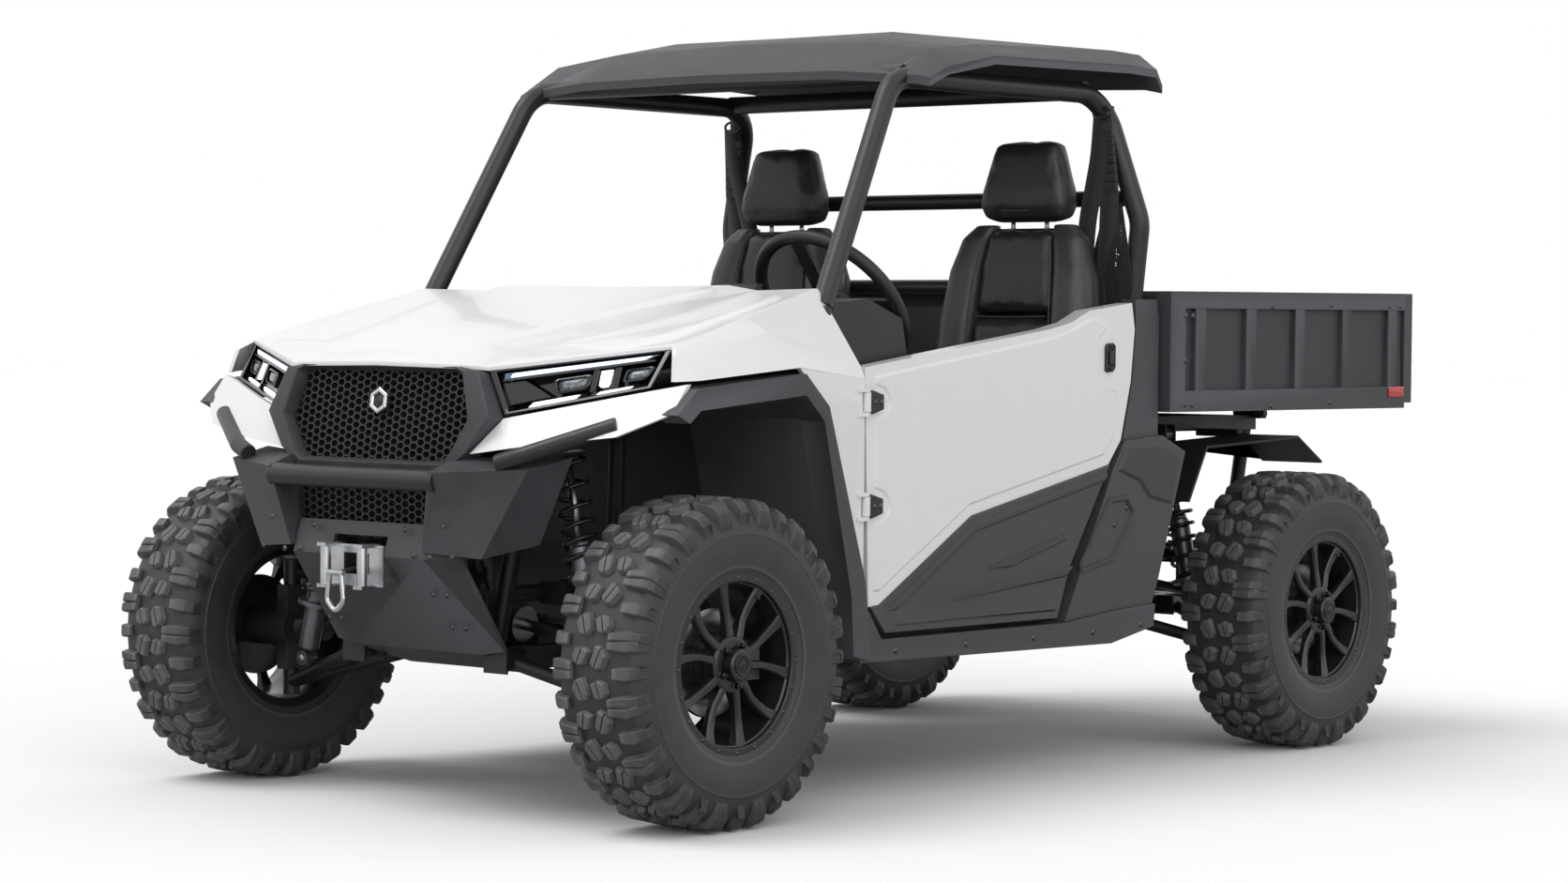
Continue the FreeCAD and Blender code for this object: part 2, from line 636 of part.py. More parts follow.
# Front bodywork
def bonnet_shape():
    """Bonnet with a raised middle between two creases."""
    cowl = size.cowl_behind
    top = size.cowl_height
    half_rows = [
        [(0, -300, 992), (244, -287, 988), (307, -258, 984), (668, -62, 1034)],
        [(0, -190, 1036), (235, -175, 1030), (340, -160, 1016), (672, 10, 1050)],
        [(0, 140, 1104), (290, 150, 1102), (385, 160, 1080), (664, 170, 1094)],
        [(0, cowl, top), (350, cowl - 4, top + 4), (440, cowl - 8, top - 8), (628, cowl - 26, top - 4)],
    ]
    rows = []
    for half_row in half_rows:
        right = [at(-x, behind, up) for x, behind, up in half_row[:0:-1]]
        left = [at(x, behind, up) for x, behind, up in half_row]
        rows.append(right + left)
    return skin(rows, Vector(0, 0, -size.skin_thickness))


bonnet = bonnet_shape()
publish("bonnet", bonnet)


def wing_shape():
    """Front wing: shoulder, side above the wheel arch and the pillar in front of the door."""
    rear = size.door_front - size.door_gap
    inward = Vector(-size.skin_thickness, 0, 0)
    upper = [at(672, -60, 1032), at(676, 10, 1048), at(668, 170, 1092), at(632, 454, 1160)]
    middle = [at(700, -90, 1010), at(706, 20, 1020), at(704, 200, 1062), at(700, rear, 985)]
    lower = [at(712, -105, 955), at(742, -60, 958), at(746, 262, 985), at(712, rear, 960)]
    side = skin([upper, middle, lower], inward)
    pillar = skin([[at(746, 262, 984), at(712, rear, 960)],
                   [at(746, 352, 905), at(712, rear, 900)],
                   [at(735, 470, 520), at(708, rear + 4, 450)]], inward)
    return fused([side, pillar])


def cheek_shape():
    """White moulding below the lamp, from the grille to the wheel arch."""
    upper = [at(354, -257, 872), at(500, -197, 902), at(657, -123, 935), at(735, -92, 950)]
    lower = [at(298, -304, 795), at(433, -292, 813), at(640, -215, 838), at(735, -140, 888)]
    return skin([upper, lower], Vector(0, size.skin_thickness, 0))



lamp_depth = Vector(0, 110, 0)
lamp_front = [at(354, -255, 879), at(655, -121, 942), at(664, -64, 1024), at(309, -256, 974)]
headlamp = hexahedron(lamp_front, [point + lamp_depth for point in lamp_front])
publish("headlamps", both_sides(headlamp.cut(bonnet)))


def grille_outline(inset):
    """Six-cornered grille outline with its lower corners drawn in, as (x, up) points."""
    return [
        (240 - inset, 984 - inset), (262 - inset, 972 - inset), (292 - inset, 866),
        (222 - inset * 0.7, 770 + inset),
    ]


def grille_frame_shape():
    """Grille surround: a hexagonal ring with wings that reach to the lamps and cheeks."""
    def loop(half):
        return [(x, up) for x, up in half] + [(-x, up) for x, up in half[::-1]]
    outer = loop([(244, 984), (304, 974), (350, 876), (294, 797), (232, 752)])
    inner = loop(grille_outline(24))
    faces = []
    for outline in (outer, inner):
        points = [Vector(x, 0, up) for x, up in outline]
        faces.append(Part.Face(Part.makePolygon(points + points[:1])))
    ring = faces[0].extrude(Vector(0, 60, 0)).cut(faces[1].extrude(Vector(0, 60, 0)))
    return ring


grille_top_behind = -290
grille_lean = math.degrees(math.atan2(32, 218))


def lean_back(shape, height):
    """Lean a shape made in the XZ plane like the grille and set it at the nose."""
    placed = shape.copy()
    placed.rotate(Vector(0, 0, height), Vector(1, 0, 0), -grille_lean)
    placed.translate(Vector(0, front_axle + grille_top_behind, 0))
    return placed


grille_pivot = 984
grille_surround = lean_back(grille_frame_shape(), grille_pivot)
mesh_points = [Vector(x, 30, up) for x, up in grille_outline(24)]
mesh_points += [Vector(-p.x, 30, p.z) for p in mesh_points[::-1]]
mesh_plate = Part.Face(Part.makePolygon(mesh_points + mesh_points[:1])).extrude(Vector(0, 10, 0))
publish("grille_mesh", lean_back(mesh_plate, grille_pivot))

# Wheel arch trims with their liners
arch_outer = [(-149, 886), (-87, 940), (267, 972), (347, 900), (478, 506), (500, 330)]
arch_inner = [(438, 345), (428, 480), (330, 868), (268, 925), (-75, 895), (-110, 868)]


def arch_shape():
    """Trim round the front wheel arch and the liner behind it."""
    trim = side_plate(arch_outer + arch_inner, size.body_half_width - 15, size.flare_half_width)
    liner_line = [(436, 345), (428, 480), (330, 872), (268, 930), (-75, 898)]
    liner = side_plate(ribbon(liner_line, size.sheet_thickness), 360, size.body_half_width - 14)
    return fused([trim, liner])


arch_trim = arch_shape()
publish("arch_trims", both_sides(arch_trim))


# Bumper, skid panel and winch
def pod_shape():
    """Corner pod beside the lower grille."""
    top = [at(250, -300, 787), at(253, -384, 756), at(470, -300, 766), at(485, -180, 790)]
    bottom = [at(212, -250, 590), at(208, -357, 582), at(350, -318, 572), at(400, -190, 600)]
    return hexahedron(bottom, top)


cross_tube = rod(at(-262, -362, 737), at(262, -362, 737), size.bumper_radius)
side_tube = tube([at(395, -318, 778), at(450, -300, 795), at(625, -190, 862)], size.side_tube_radius, 60)
publish("bumper_tubes", Part.makeCompound([cross_tube, side_tube, mirrored(side_tube)]))
publish("cheeks", both_sides(cheek_shape().cut(arch_trim).cut(side_tube)))
bumper_pod = pod_shape().cut(cross_tube).cut(side_tube)
publish("bumper_pods", both_sides(bumper_pod))
bumper_pods = both_sides(bumper_pod)
publish("grille_surround", grille_surround.cut(bumper_pods).cut(bonnet).cut(both_sides(headlamp)))


shackle_radius = 6


def skid_shape():
    """Front skid panel with the window for the winch."""
    line = [(-330, 640), (-352, 567), (-165, 350), (10, 299)]
    panel = wide_plate(ribbon(line, -10), 205)
    edge = [at(205, -330, 640), at(205, -352, 567), at(205, -165, 350)]
    back = [at(245, -250, 640), at(262, -290, 560), at(266, -160, 360)]
    wing = skin([edge, back], Vector(0, 10, 2))
    window = box(-85, 85, -380, -300, 480, 610)
    panel = fused([panel, wing, mirrored(wing)]).cut(window).cut(bumper_pods).cut(frame)
    return max(panel.Solids, key=lambda solid: solid.Volume)


skid_panel = skid_shape()
publish("skid_panel", skid_panel)
winch_face = -262
shackle_front = -size.front_reach
post_behind = shackle_front + 30
skid_face = -344
fairlead = fused([box(-84, 84, skid_face - 9, skid_face, 500, 590)] +
                 [box(x, x + 8, skid_face - 9, winch_face, 510, 580) for x in (-84, 76)] +
                 [rod(at(x, post_behind, 500), at(x, post_behind, 590), 12) for x in (-58, 58)] +
                 [box(x - 14, x + 14, post_behind - 14, skid_face, up, up + 8) for x in (-58, 58) for up in (496, 586)])
shackle_behind = shackle_front + shackle_radius
shackle = tube([at(-18, shackle_behind, 535), at(-26, shackle_behind, 470), at(0, shackle_behind, 445),
                at(26, shackle_behind, 470), at(18, shackle_behind, 535)], shackle_radius, 14)
mouth = box(-40, 40, skid_face - 12, skid_face + 3, 525, 572)
publish("winch_fairlead", fairlead.cut(mouth).cut(skid_panel))
shackle_pin = rod(at(-25, shackle_behind, 531), at(25, shackle_behind, 531), shackle_radius)
publish("winch_shackle", fused([shackle, shackle_pin]))
winch_drum = rod(at(-80, -215, 545), at(80, -215, 545), 42)
winch_ends = [box(x, x + 55, winch_face, -168, winch_floor, 600) for x in (-130, 75)]
winch_line = rod(at(0, -240, 555), at(0, shackle_behind + 3, 531), 4).cut(shackle_pin)
publish("winch", fused([winch_drum, winch_line] + winch_ends))

# Sills, rear quarter panels and doors
sill_outline = [(512, 322), (1479, 312), (1655, 344), (1662, 400), (1500, 392), (1290, 372), (590, 372),
                (545, 436), (512, 440)]
publish("sills", both_sides(side_plate(sill_outline, tub_half_width, size.body_half_width + 12)))
quarter_outline = [(1300, 373.4), (1492, 735), (1540, 804), (1700, 815), (1800, 773), (1691, 467), (1662, 400), (1500, 392)]
quarter = side_plate(quarter_outline, size.body_half_width - 40, size.body_half_width)
tall_outline = [(1600, 1150), (1690, 1150), (1700, 1105), (1700, 815), (1552, 804.8), (1588, 950), (1602, 1080)]
tall_panel = side_plate(tall_outline, size.body_half_width - tall_panel_depth, size.body_half_width - 15)
publish("rear_quarters", both_sides(Part.makeCompound([quarter, tall_panel.cut(roll_cage)])))

door_split = [(554, 446), (591, 449), (929, 640), (1471, 747)]
door_top = [(1561, 948), (1576, 1076), (1563, 1141), (1386, 1120), (1314, 1091), (1224, 1074), (666, 1001),
            (size.door_front, 985)]
door_skin_outline = door_split + [(1522, 806)] + door_top
door_lower_outline = door_split[::-1] + [(609, 384), (1262, 384), (1310, 503)]
door_inner = size.body_half_width - size.door_thickness
door_skin = side_plate(door_skin_outline, door_inner, size.body_half_width)
door_lower = side_plate(door_lower_outline, door_inner, size.body_half_width + 6)

# Door hinges: pins on the pillar in front and eyes on the door
hinge_x = size.body_half_width + 8
hinge_behind = size.door_front - 4
hinge_heights = (673, 907)
hinge_pin_radius = 5
hinge_eye_radius = 10
hinge_half_length = 22
pillar_hinges = []
for height in hinge_heights:
    pillar_hinges.append(rod(at(hinge_x, hinge_behind, height - hinge_half_length - 10),
                             at(hinge_x, hinge_behind, height + hinge_half_length + 10), hinge_pin_radius))
    for low in (height - hinge_half_length - 10, height + hinge_half_length + 1):
        pillar_hinges.append(box(hinge_x - 14, hinge_x + 8, size.door_front - 40, hinge_behind + 3, low, low + 9))
    eye = rod(at(hinge_x, hinge_behind, height - hinge_half_length),
              at(hinge_x, hinge_behind, height + hinge_half_length), hinge_eye_radius)
    leaf = box(hinge_x - 12, hinge_x + 4, hinge_behind, size.door_front + 46, height - hinge_half_length,
               height + hinge_half_length)
    bore = rod(at(hinge_x, hinge_behind, height - 40), at(hinge_x, hinge_behind, height + 40),
               hinge_pin_radius + size.running_gap)
    door_skin = door_skin.fuse([eye, leaf]).cut(bore)
hinge_room = [rod(at(hinge_x, hinge_behind, height - hinge_half_length), at(hinge_x, hinge_behind, height
              + hinge_half_length), hinge_eye_radius + 5) for height in hinge_heights]
front_wing = wing_shape().cut(arch_trim).cut(bonnet).cut(roll_cage)
for room in hinge_room:
    front_wing = front_wing.cut(room)
publish("wings", both_sides(front_wing.fuse(pillar_hinges)))
for side, turn in (("left", lambda shape: shape), ("right", mirrored)):
    publish(f"door_skin_{side}", turn(door_skin))
    publish(f"door_lower_{side}", turn(door_lower))


# Roof
def roof_shape():
    """Moulded roof with raised panels and edges that turn down."""
    top = size.roof_top
    side = size.roof_half_width
    half_rows = [
        [(0, 765, top - 108), (400, 772, top - 112), (side - 30, 800, top - 128), (side, 815, top - 134)],
        [(0, 880, top - 30), (400, 885, top - 38), (side - 60, 890, top - 60), (side, 885, top - 104)],
        [(0, 1050, top - 2), (350, 1060, top), (side - 50, 1064, top - 40), (side, 1064, top - 70)],
        [(0, 1580, top - 6), (350, 1580, top - 8), (side - 50, 1600, top - 22), (side, 1610, top - 60)],
        [(0, 1700, top - 10), (350, 1705, top - 12), (side - 50, 1715, top - 26), (side, 1720, top - 64)],
        [(0, 1735, top - 80), (350, 1738, top - 84), (side - 50, 1742, top - 92), (side, 1745, top - 102)],
    ]
    rows = []
    for half_row in half_rows:
        right = [at(-x, behind, up) for x, behind, up in half_row[:0:-1]]
        left = [at(x, behind, up) for x, behind, up in half_row]
        rows.append(right + left)
    return skin(rows, Vector(0, 0, -20))


publish("roof", roof_shape().cut(roll_cage))


# Seats
soft_gap = 0.3


def seat_shape():
    """Bucket seat: cushion, back and headrest in one closed solid."""
    half = size.seat_width / 2
    x0 = size.seat_offset - half
    x1 = size.seat_offset + half
    base = size.seat_height
    low = riser_top + soft_gap
    cushion = side_plate([(1090, low), (1550, low), (1550, base - 10), (1480, base - 30),
                          (1120, base), (1075, base - 40)], x0, x1)
    back_points = [at(x0, 1455, base - 40), at(x1, 1455, base - 40), at(x1 - 90, 1520, 1330),
                   at(x0 + 90, 1520, 1330)]
    back = hexahedron(back_points, [point + Vector(0, 80, 0) for point in back_points])
    head = [at(size.seat_offset - 110, 1500, 1350), at(size.seat_offset + 110, 1500, 1350),
            at(size.seat_offset + 78, 1512, 1545), at(size.seat_offset - 78, 1512, 1545)]
    headrest = hexahedron(head, [point + Vector(0, 85, 0) for point in head])
    neck = box(size.seat_offset - 50, size.seat_offset + 50, 1520, 1570, 1320, 1360)
    return fused([cushion, back, headrest, neck])


publish("seats", both_sides(seat_shape()))


# Steering wheel and column
def steering_wheel_shape():
    """Steering wheel in the XY plane with its hub towards -Z."""
    ring = Part.makeTorus(size.wheel_rim_radius, size.wheel_grip_radius)
    hub = Part.makeCylinder(52, 46, Vector(0, 0, -46))
    shapes = [ring, hub]
    for angle in (0, 180, 270):
        spoke = Part.makeBox(size.wheel_rim_radius - 20, 40, 12, Vector(20, -20, -16))
        spoke.rotate(Vector(0, 0, 0), Vector(0, 0, 1), angle)
        shapes.append(spoke)
    return fused(shapes)


wheel_centre = at(size.seat_offset, size.wheel_behind, size.wheel_height)
wheel_rotation = Rotation(Vector(1, 0, 0), -(90 - size.wheel_tilt))
column_axis = Vector(0, math.cos(math.radians(size.wheel_tilt)), math.sin(math.radians(size.wheel_tilt)))
steering_wheel = steering_wheel_shape()
steering_wheel.Placement = Placement(wheel_centre, wheel_rotation)
publish("steering_wheel", steering_wheel)
column_top = wheel_centre - column_axis * 46.5
column = rod(column_top - column_axis * 130, column_top, 30)
publish("steering_column", column.cut(dashboard))


# Bed and tailgate
gate_gap = 6
gate_thickness = 40
gate_low = size.bed_floor_height + 14
gate_hinge_behind = bed_rear + gate_gap + gate_thickness + 4
gate_arm_x = 480


def bed_shape():
    """Cargo bed: floor, front wall and two sides with rails and upright ribs."""
    half = size.bed_half_width
    wall = size.bed_wall
    low = size.bed_floor_height
    top = size.bed_rail_height
    floor = box(-half, half, bed_front, bed_rear, low, low + wall)
    front = box(-half, half, bed_front, bed_front + wall, low, top - 8)
    shapes = [floor, front]
    side = box(half - wall, half - 14, bed_front, bed_rear, low, top - 10)
    top_rail = side_plate([(bed_front - 5, top - 50), (bed_rear, top - 45), (bed_rear, top),
                           (bed_front - 5, top - 8)], half - wall - 10, half)
    low_rail = side_plate([(bed_front - 5, low), (bed_rear, low), (bed_rear, low + 58),
                           (bed_front - 5, low + 52)], half - wall, half)
    front_post = box(half - wall, half, bed_front - 5, bed_front + 60, low, top - 20)
    shapes += [side, top_rail, low_rail, front_post]
    rib_count = 5
    rib_pitch = (bed_rear - bed_front - 190) / (rib_count - 1)
    for rib in range(rib_count):
        behind = bed_front + 130 + rib * rib_pitch
        shapes.append(box(half - wall, half - 2, behind - 22, behind + 22, low, top - 20))
    lug = box(lug_inner_x, lug_outer_x, bed_hinge_behind - 14, bed_hinge_behind + 14,
              bed_hinge_height - 14, low + 4)
    lug = lug.cut(rod(at(lug_inner_x - 5, bed_hinge_behind, bed_hinge_height),
                      at(lug_outer_x + 5, bed_hinge_behind, bed_hinge_height),
                      bed_pin_radius + size.running_gap))
    arm = box(gate_arm_x, gate_arm_x + 40, bed_rear - 20, gate_hinge_behind + 10, low + 2, gate_low + 10)
    pin = rod(at(gate_arm_x - 20, gate_hinge_behind, gate_low), at(gate_arm_x + 60, gate_hinge_behind, gate_low), 6)
    sides = shapes[2:] + [lug, arm, pin]
    return fused(shapes[:2] + sides + [mirrored(shape) for shape in sides])


publish("bed", bed_shape())
gate_half_width = size.bed_half_width - 6
gate_face = bed_rear + gate_gap + gate_thickness
tailgate = fused([
    box(-gate_half_width, gate_half_width, bed_rear + gate_gap, gate_face, gate_low, size.bed_rail_height),
    box(-120, 120, gate_face - 10, gate_face + 12, 1080, 1130),
])
for x in (gate_arm_x - 20, gate_arm_x + 46):
    for turn in (lambda shape: shape, mirrored):
        eye = rod(at(x, gate_hinge_behind, gate_low), at(x + 14, gate_hinge_behind, gate_low), 14)
        tailgate = tailgate.fuse(turn(eye))
for turn in (lambda shape: shape, mirrored):
    notch = rod(at(gate_arm_x - 6, gate_hinge_behind, gate_low), at(gate_arm_x + 46, gate_hinge_behind, gate_low), 56)
    bore = rod(at(gate_arm_x - 30, gate_hinge_behind, gate_low), at(gate_arm_x + 70, gate_hinge_behind, gate_low),
               6 + size.running_gap)
    tailgate = tailgate.cut(turn(notch)).cut(turn(bore))
publish("tailgate", tailgate)

# Guards below the bed
guard_line = [(size.wheelbase - 330, 640), (size.wheelbase - 250, 780), (size.wheelbase + 180, 800),
              (size.wheelbase + 300, 730)]
guard = side_plate(ribbon(guard_line, size.sheet_thickness), 410, 600)
guard_stay = box(size.rail_half_gap + 100, 425, size.wheelbase + 150, size.wheelbase + 180, 792, 812)
publish("mudguards", both_sides(guard.fuse(guard_stay)))

# Every object is checked before anything is written
doc.recompute()
for item in doc.Objects:
    if "Invalid" in item.State or "Error" in item.State:
        raise RuntimeError(f"{item.Label} failed: {item.State}")
for piece in pieces:
    shape = piece.Shape
    if shape.isNull() or not shape.isValid() or not shape.Solids:
        raise RuntimeError(f"{piece.Label} has no valid solid")
    shape.exportStep(f"parts/{piece.Label}.step")
    print(piece.Label, len(shape.Solids), round(shape.Volume / 1e6, 2))
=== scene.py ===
import json
import math
import random

import bmesh
import bpy
from bpy.props import FloatProperty, PointerProperty, StringProperty
from mathutils import Matrix, Vector
from mathutils.bvhtree import BVHTree


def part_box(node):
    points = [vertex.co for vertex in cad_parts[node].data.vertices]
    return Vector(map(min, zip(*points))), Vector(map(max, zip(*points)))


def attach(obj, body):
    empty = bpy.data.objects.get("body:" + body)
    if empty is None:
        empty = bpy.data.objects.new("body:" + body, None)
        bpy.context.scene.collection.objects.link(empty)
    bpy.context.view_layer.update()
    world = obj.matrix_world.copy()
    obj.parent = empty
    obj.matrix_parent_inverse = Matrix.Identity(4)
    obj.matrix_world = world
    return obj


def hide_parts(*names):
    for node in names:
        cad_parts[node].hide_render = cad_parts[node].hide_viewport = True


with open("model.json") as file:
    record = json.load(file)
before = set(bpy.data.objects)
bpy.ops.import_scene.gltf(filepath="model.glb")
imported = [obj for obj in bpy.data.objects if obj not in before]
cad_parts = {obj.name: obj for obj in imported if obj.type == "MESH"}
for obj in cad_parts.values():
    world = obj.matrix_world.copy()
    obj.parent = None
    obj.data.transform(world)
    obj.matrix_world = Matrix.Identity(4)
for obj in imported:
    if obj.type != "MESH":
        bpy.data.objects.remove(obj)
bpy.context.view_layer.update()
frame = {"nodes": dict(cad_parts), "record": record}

bl_info = {
    "name": "Side by side utility vehicle",
    "version": (1, 0, 0),
    "blender": (4, 5, 0),
    "location": "3D view > Sidebar > Utility vehicle",
    "description": "Dresses the packed model of a two-seat utility vehicle for a studio picture",
    "category": "Object",
}

# Lengths in this file are millimetres where nothing says metres, and points handed to Blender
# are metres. "behind" counts from the front axle towards the rear.
MM = 0.001
SIDES = ((1, "left"), (-1, "right"))
WHEELS = ("front_left", "front_right", "rear_left", "rear_right")
FINE_NODES = ("grille_mesh", "winch_shackle", "winch_fairlead", "steering_rack", "half_shafts")
FINE_EDGE = 0.6
FINISHES = {}


def middle(node):
    """Middle of a CAD node's box, in metres."""
    low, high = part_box(node)
    return (Vector(low) + Vector(high)) / 2


FRONT_WHEEL = middle("tyre_front_left")
REAR_WHEEL = middle("tyre_rear_left")
WHEELBASE = (REAR_WHEEL.y - FRONT_WHEEL.y) / MM


def at(x, behind, up):
    """Point in metres from millimetres across, behind the front axle and up."""
    return Vector((x * MM, FRONT_WHEEL.y + behind * MM, up * MM))


def mm(x, y, z):
    """Step in metres from millimetres along each axis."""
    return Vector((x, y, z)) * MM


def angles(count):
    """Even angles round a full turn."""
    return [2 * math.pi * i / count for i in range(count)]


def scaled(outline, centre, across, up):
    """Outline drawn in towards a centre, by a share for each direction."""
    return [(centre[0] + (a - centre[0]) * across, centre[1] + (b - centre[1]) * up)
            for a, b in outline]


# Materials

BLOTCH_MM = 60
BLOTCH_RANGE = (0.3, 0.7)             # of the noise between the darkest and the lightest tone
WORN_AND_LIT_EDGE = (0.53, 0.62)              # pointiness where the lighter edge starts and where it is full: wear, and on the tyres also a painted highlight


def linear(colour):
    """Linear RGBA from an sRGB hex colour."""
    channels = [int(colour[i:i + 2], 16) / 255 for i in (1, 3, 5)]
    return (*[c / 12.92 if c <= 0.04045 else ((c + 0.055) / 1.055) ** 2.4 for c in channels], 1.0)


def shade(colour, factor):
    """A hex colour made lighter or darker."""
    channels = [min(255, round(int(colour[i:i + 2], 16) * factor)) for i in (1, 3, 5)]
    return "#%02x%02x%02x" % tuple(channels)


def add(tree, kind, inputs=(), **settings):
    """Add a shader node with its settings, and set or link its inputs."""
    node = tree.nodes.new("ShaderNode" + kind)
    for name, value in settings.items():
        setattr(node, name, value)
    for name, value in dict(inputs).items():
        if isinstance(value, bpy.types.NodeSocket):
            tree.links.new(value, node.inputs[name])
        else:
            node.inputs[name].default_value = value
    return node


def empty_tree(owner):
    """Node tree of a material or world, with nothing in it."""
    owner.use_nodes = True
    owner.node_tree.nodes.clear()
    return owner.node_tree


def start_material(name, constants):
    """New node material with its Principled shader, that shader's constants and object coordinates."""
    material = bpy.data.materials.new(name)
    tree = empty_tree(material)
    output = add(tree, "OutputMaterial")
    shader = add(tree, "BsdfPrincipled", constants)
    tree.links.new(shader.outputs[0], output.inputs["Surface"])
    coords = add(tree, "TexCoord").outputs["Object"]
    return material, tree, shader, coords


def add_bump(tree, shader, height, strength, depth_mm):
    """Bump of a depth on the shader's normal."""
    bump = add(tree, "Bump", {"Height": height, "Strength": strength, "Distance": depth_mm * MM})
    tree.links.new(bump.outputs[0], shader.inputs["Normal"])


def moulded(name, colour, roughness, grain_mm, depth_mm, wear_and_highlight="", metallic=0.0, mottle=0.08, coat=0.0):
    """Moulded, painted or cast surface: blotchy colour, fine grain and lighter worn edges."""
    material, tree, shader, coords = start_material(
        name, {"Metallic": metallic, "Coat Weight": coat, "Coat Roughness": 0.06})
    blotch = add(tree, "TexNoise", {"Vector": coords, "Scale": 1 / (BLOTCH_MM * MM), "Detail": 3.0})
    tone = add(tree, "ValToRGB", {"Fac": blotch.outputs["Fac"]})
    for stop, position, factor in zip(tone.color_ramp.elements, BLOTCH_RANGE, (1 - mottle, 1 + mottle)):
        stop.position = position
        stop.color = linear(shade(colour, factor))
    base = tone.outputs["Color"]
    # lighter convex edges: wear, and on the tyres partly a painted highlight
    if wear_and_highlight:
        pointed = add(tree, "NewGeometry").outputs["Pointiness"]
        edge = add(tree, "MapRange", {"Value": pointed, "From Min": WORN_AND_LIT_EDGE[0],
                                      "From Max": WORN_AND_LIT_EDGE[1]})
        mix = add(tree, "Mix", {0: edge.outputs[0], 6: base, 7: linear(wear_and_highlight)}, data_type="RGBA")
        base = mix.outputs[2]
    tree.links.new(base, shader.inputs["Base Color"])
    rough = add(tree, "MapRange", {"Value": blotch.outputs["Fac"], "From Min": BLOTCH_RANGE[0],
                                   "From Max": BLOTCH_RANGE[1], "To Min": roughness * 0.9,
                                   "To Max": min(1.0, roughness * 1.1)})
    tree.links.new(rough.outputs[0], shader.inputs["Roughness"])
    grain = add(tree, "TexVoronoi", {"Vector": coords, "Scale": 1 / (grain_mm * MM)})
    add_bump(tree, shader, grain.outputs["Distance"], 0.6, depth_mm)
    return material


def glowing(name, colour, strength):
    """Light guide that shines a little unevenly along its length."""
    material, tree, shader, coords = start_material(
        name, {"Base Color": linear(colour), "Emission Color": linear(colour)})
    spots = add(tree, "TexNoise", {"Vector": coords, "Scale": 1 / (8 * MM)})
    power = add(tree, "MapRange", {"Value": spots.outputs["Fac"], "To Min": strength * 0.8,
                                   "To Max": strength * 1.2})
    tree.links.new(power.outputs[0], shader.inputs["Emission Strength"])
    return material


def woven(name, colour, thread_mm, depth_mm):
    """Webbing: thread ribs across two directions, slightly frayed in tone."""
    material, tree, shader, coords = start_material(name, {"Roughness": 0.75, "Sheen Weight": 0.3})
    ribs, cross = [
        add(tree, "TexWave", {"Vector": coords, "Scale": 1 / (thread_mm * MM) / 3, "Distortion": 0.6},
            bands_direction=direction) for direction in ("Z", "X")]
    weave = add(tree, "Math", {0: ribs.outputs["Fac"], 1: cross.outputs["Fac"]}, operation="MULTIPLY")
    tone = add(tree, "Mix", {0: weave.outputs[0], 6: linear(shade(colour, 0.7)),
                             7: linear(shade(colour, 1.5))}, data_type="RGBA")
    tree.links.new(tone.outputs[2], shader.inputs["Base Color"])
    add_bump(tree, shader, weave.outputs[0], 0.7, depth_mm)
    return material


def perforated(name, colour, pitch_mm):
    """Sheet with rows of punched holes that let light through."""
    material, tree, shader, coords = start_material(name, {"Base Color": linear(colour)})
    cells = add(tree, "TexVoronoi", {"Vector": coords, "Scale": 1 / (pitch_mm * MM), "Randomness": 0.35})
    solid = add(tree, "Math", {0: cells.outputs["Distance"], 1: 0.24}, operation="GREATER_THAN")
    tree.links.new(solid.outputs[0], shader.inputs["Alpha"])
    rough = add(tree, "MapRange", {"Value": cells.outputs["Distance"], "To Min": 0.5, "To Max": 0.7})
    tree.links.new(rough.outputs[0], shader.inputs["Roughness"])
    return material


def lens_cells(name, colour, light_colour, cell_mm):
    """Dark faceted projector glass."""
    material, tree, shader, coords = start_material(name, {"Roughness": 0.06, "Coat Weight": 0.8})
    cells = add(tree, "TexVoronoi", {"Vector": coords, "Scale": 1 / (cell_mm * MM)})
    tone = add(tree, "Mix", {0: cells.outputs["Distance"], 6: linear(colour), 7: linear(light_colour)},
               data_type="RGBA")
    tree.links.new(tone.outputs[2], shader.inputs["Base Color"])
    add_bump(tree, shader, cells.outputs["Distance"], 0.8, 0.6)
    return material


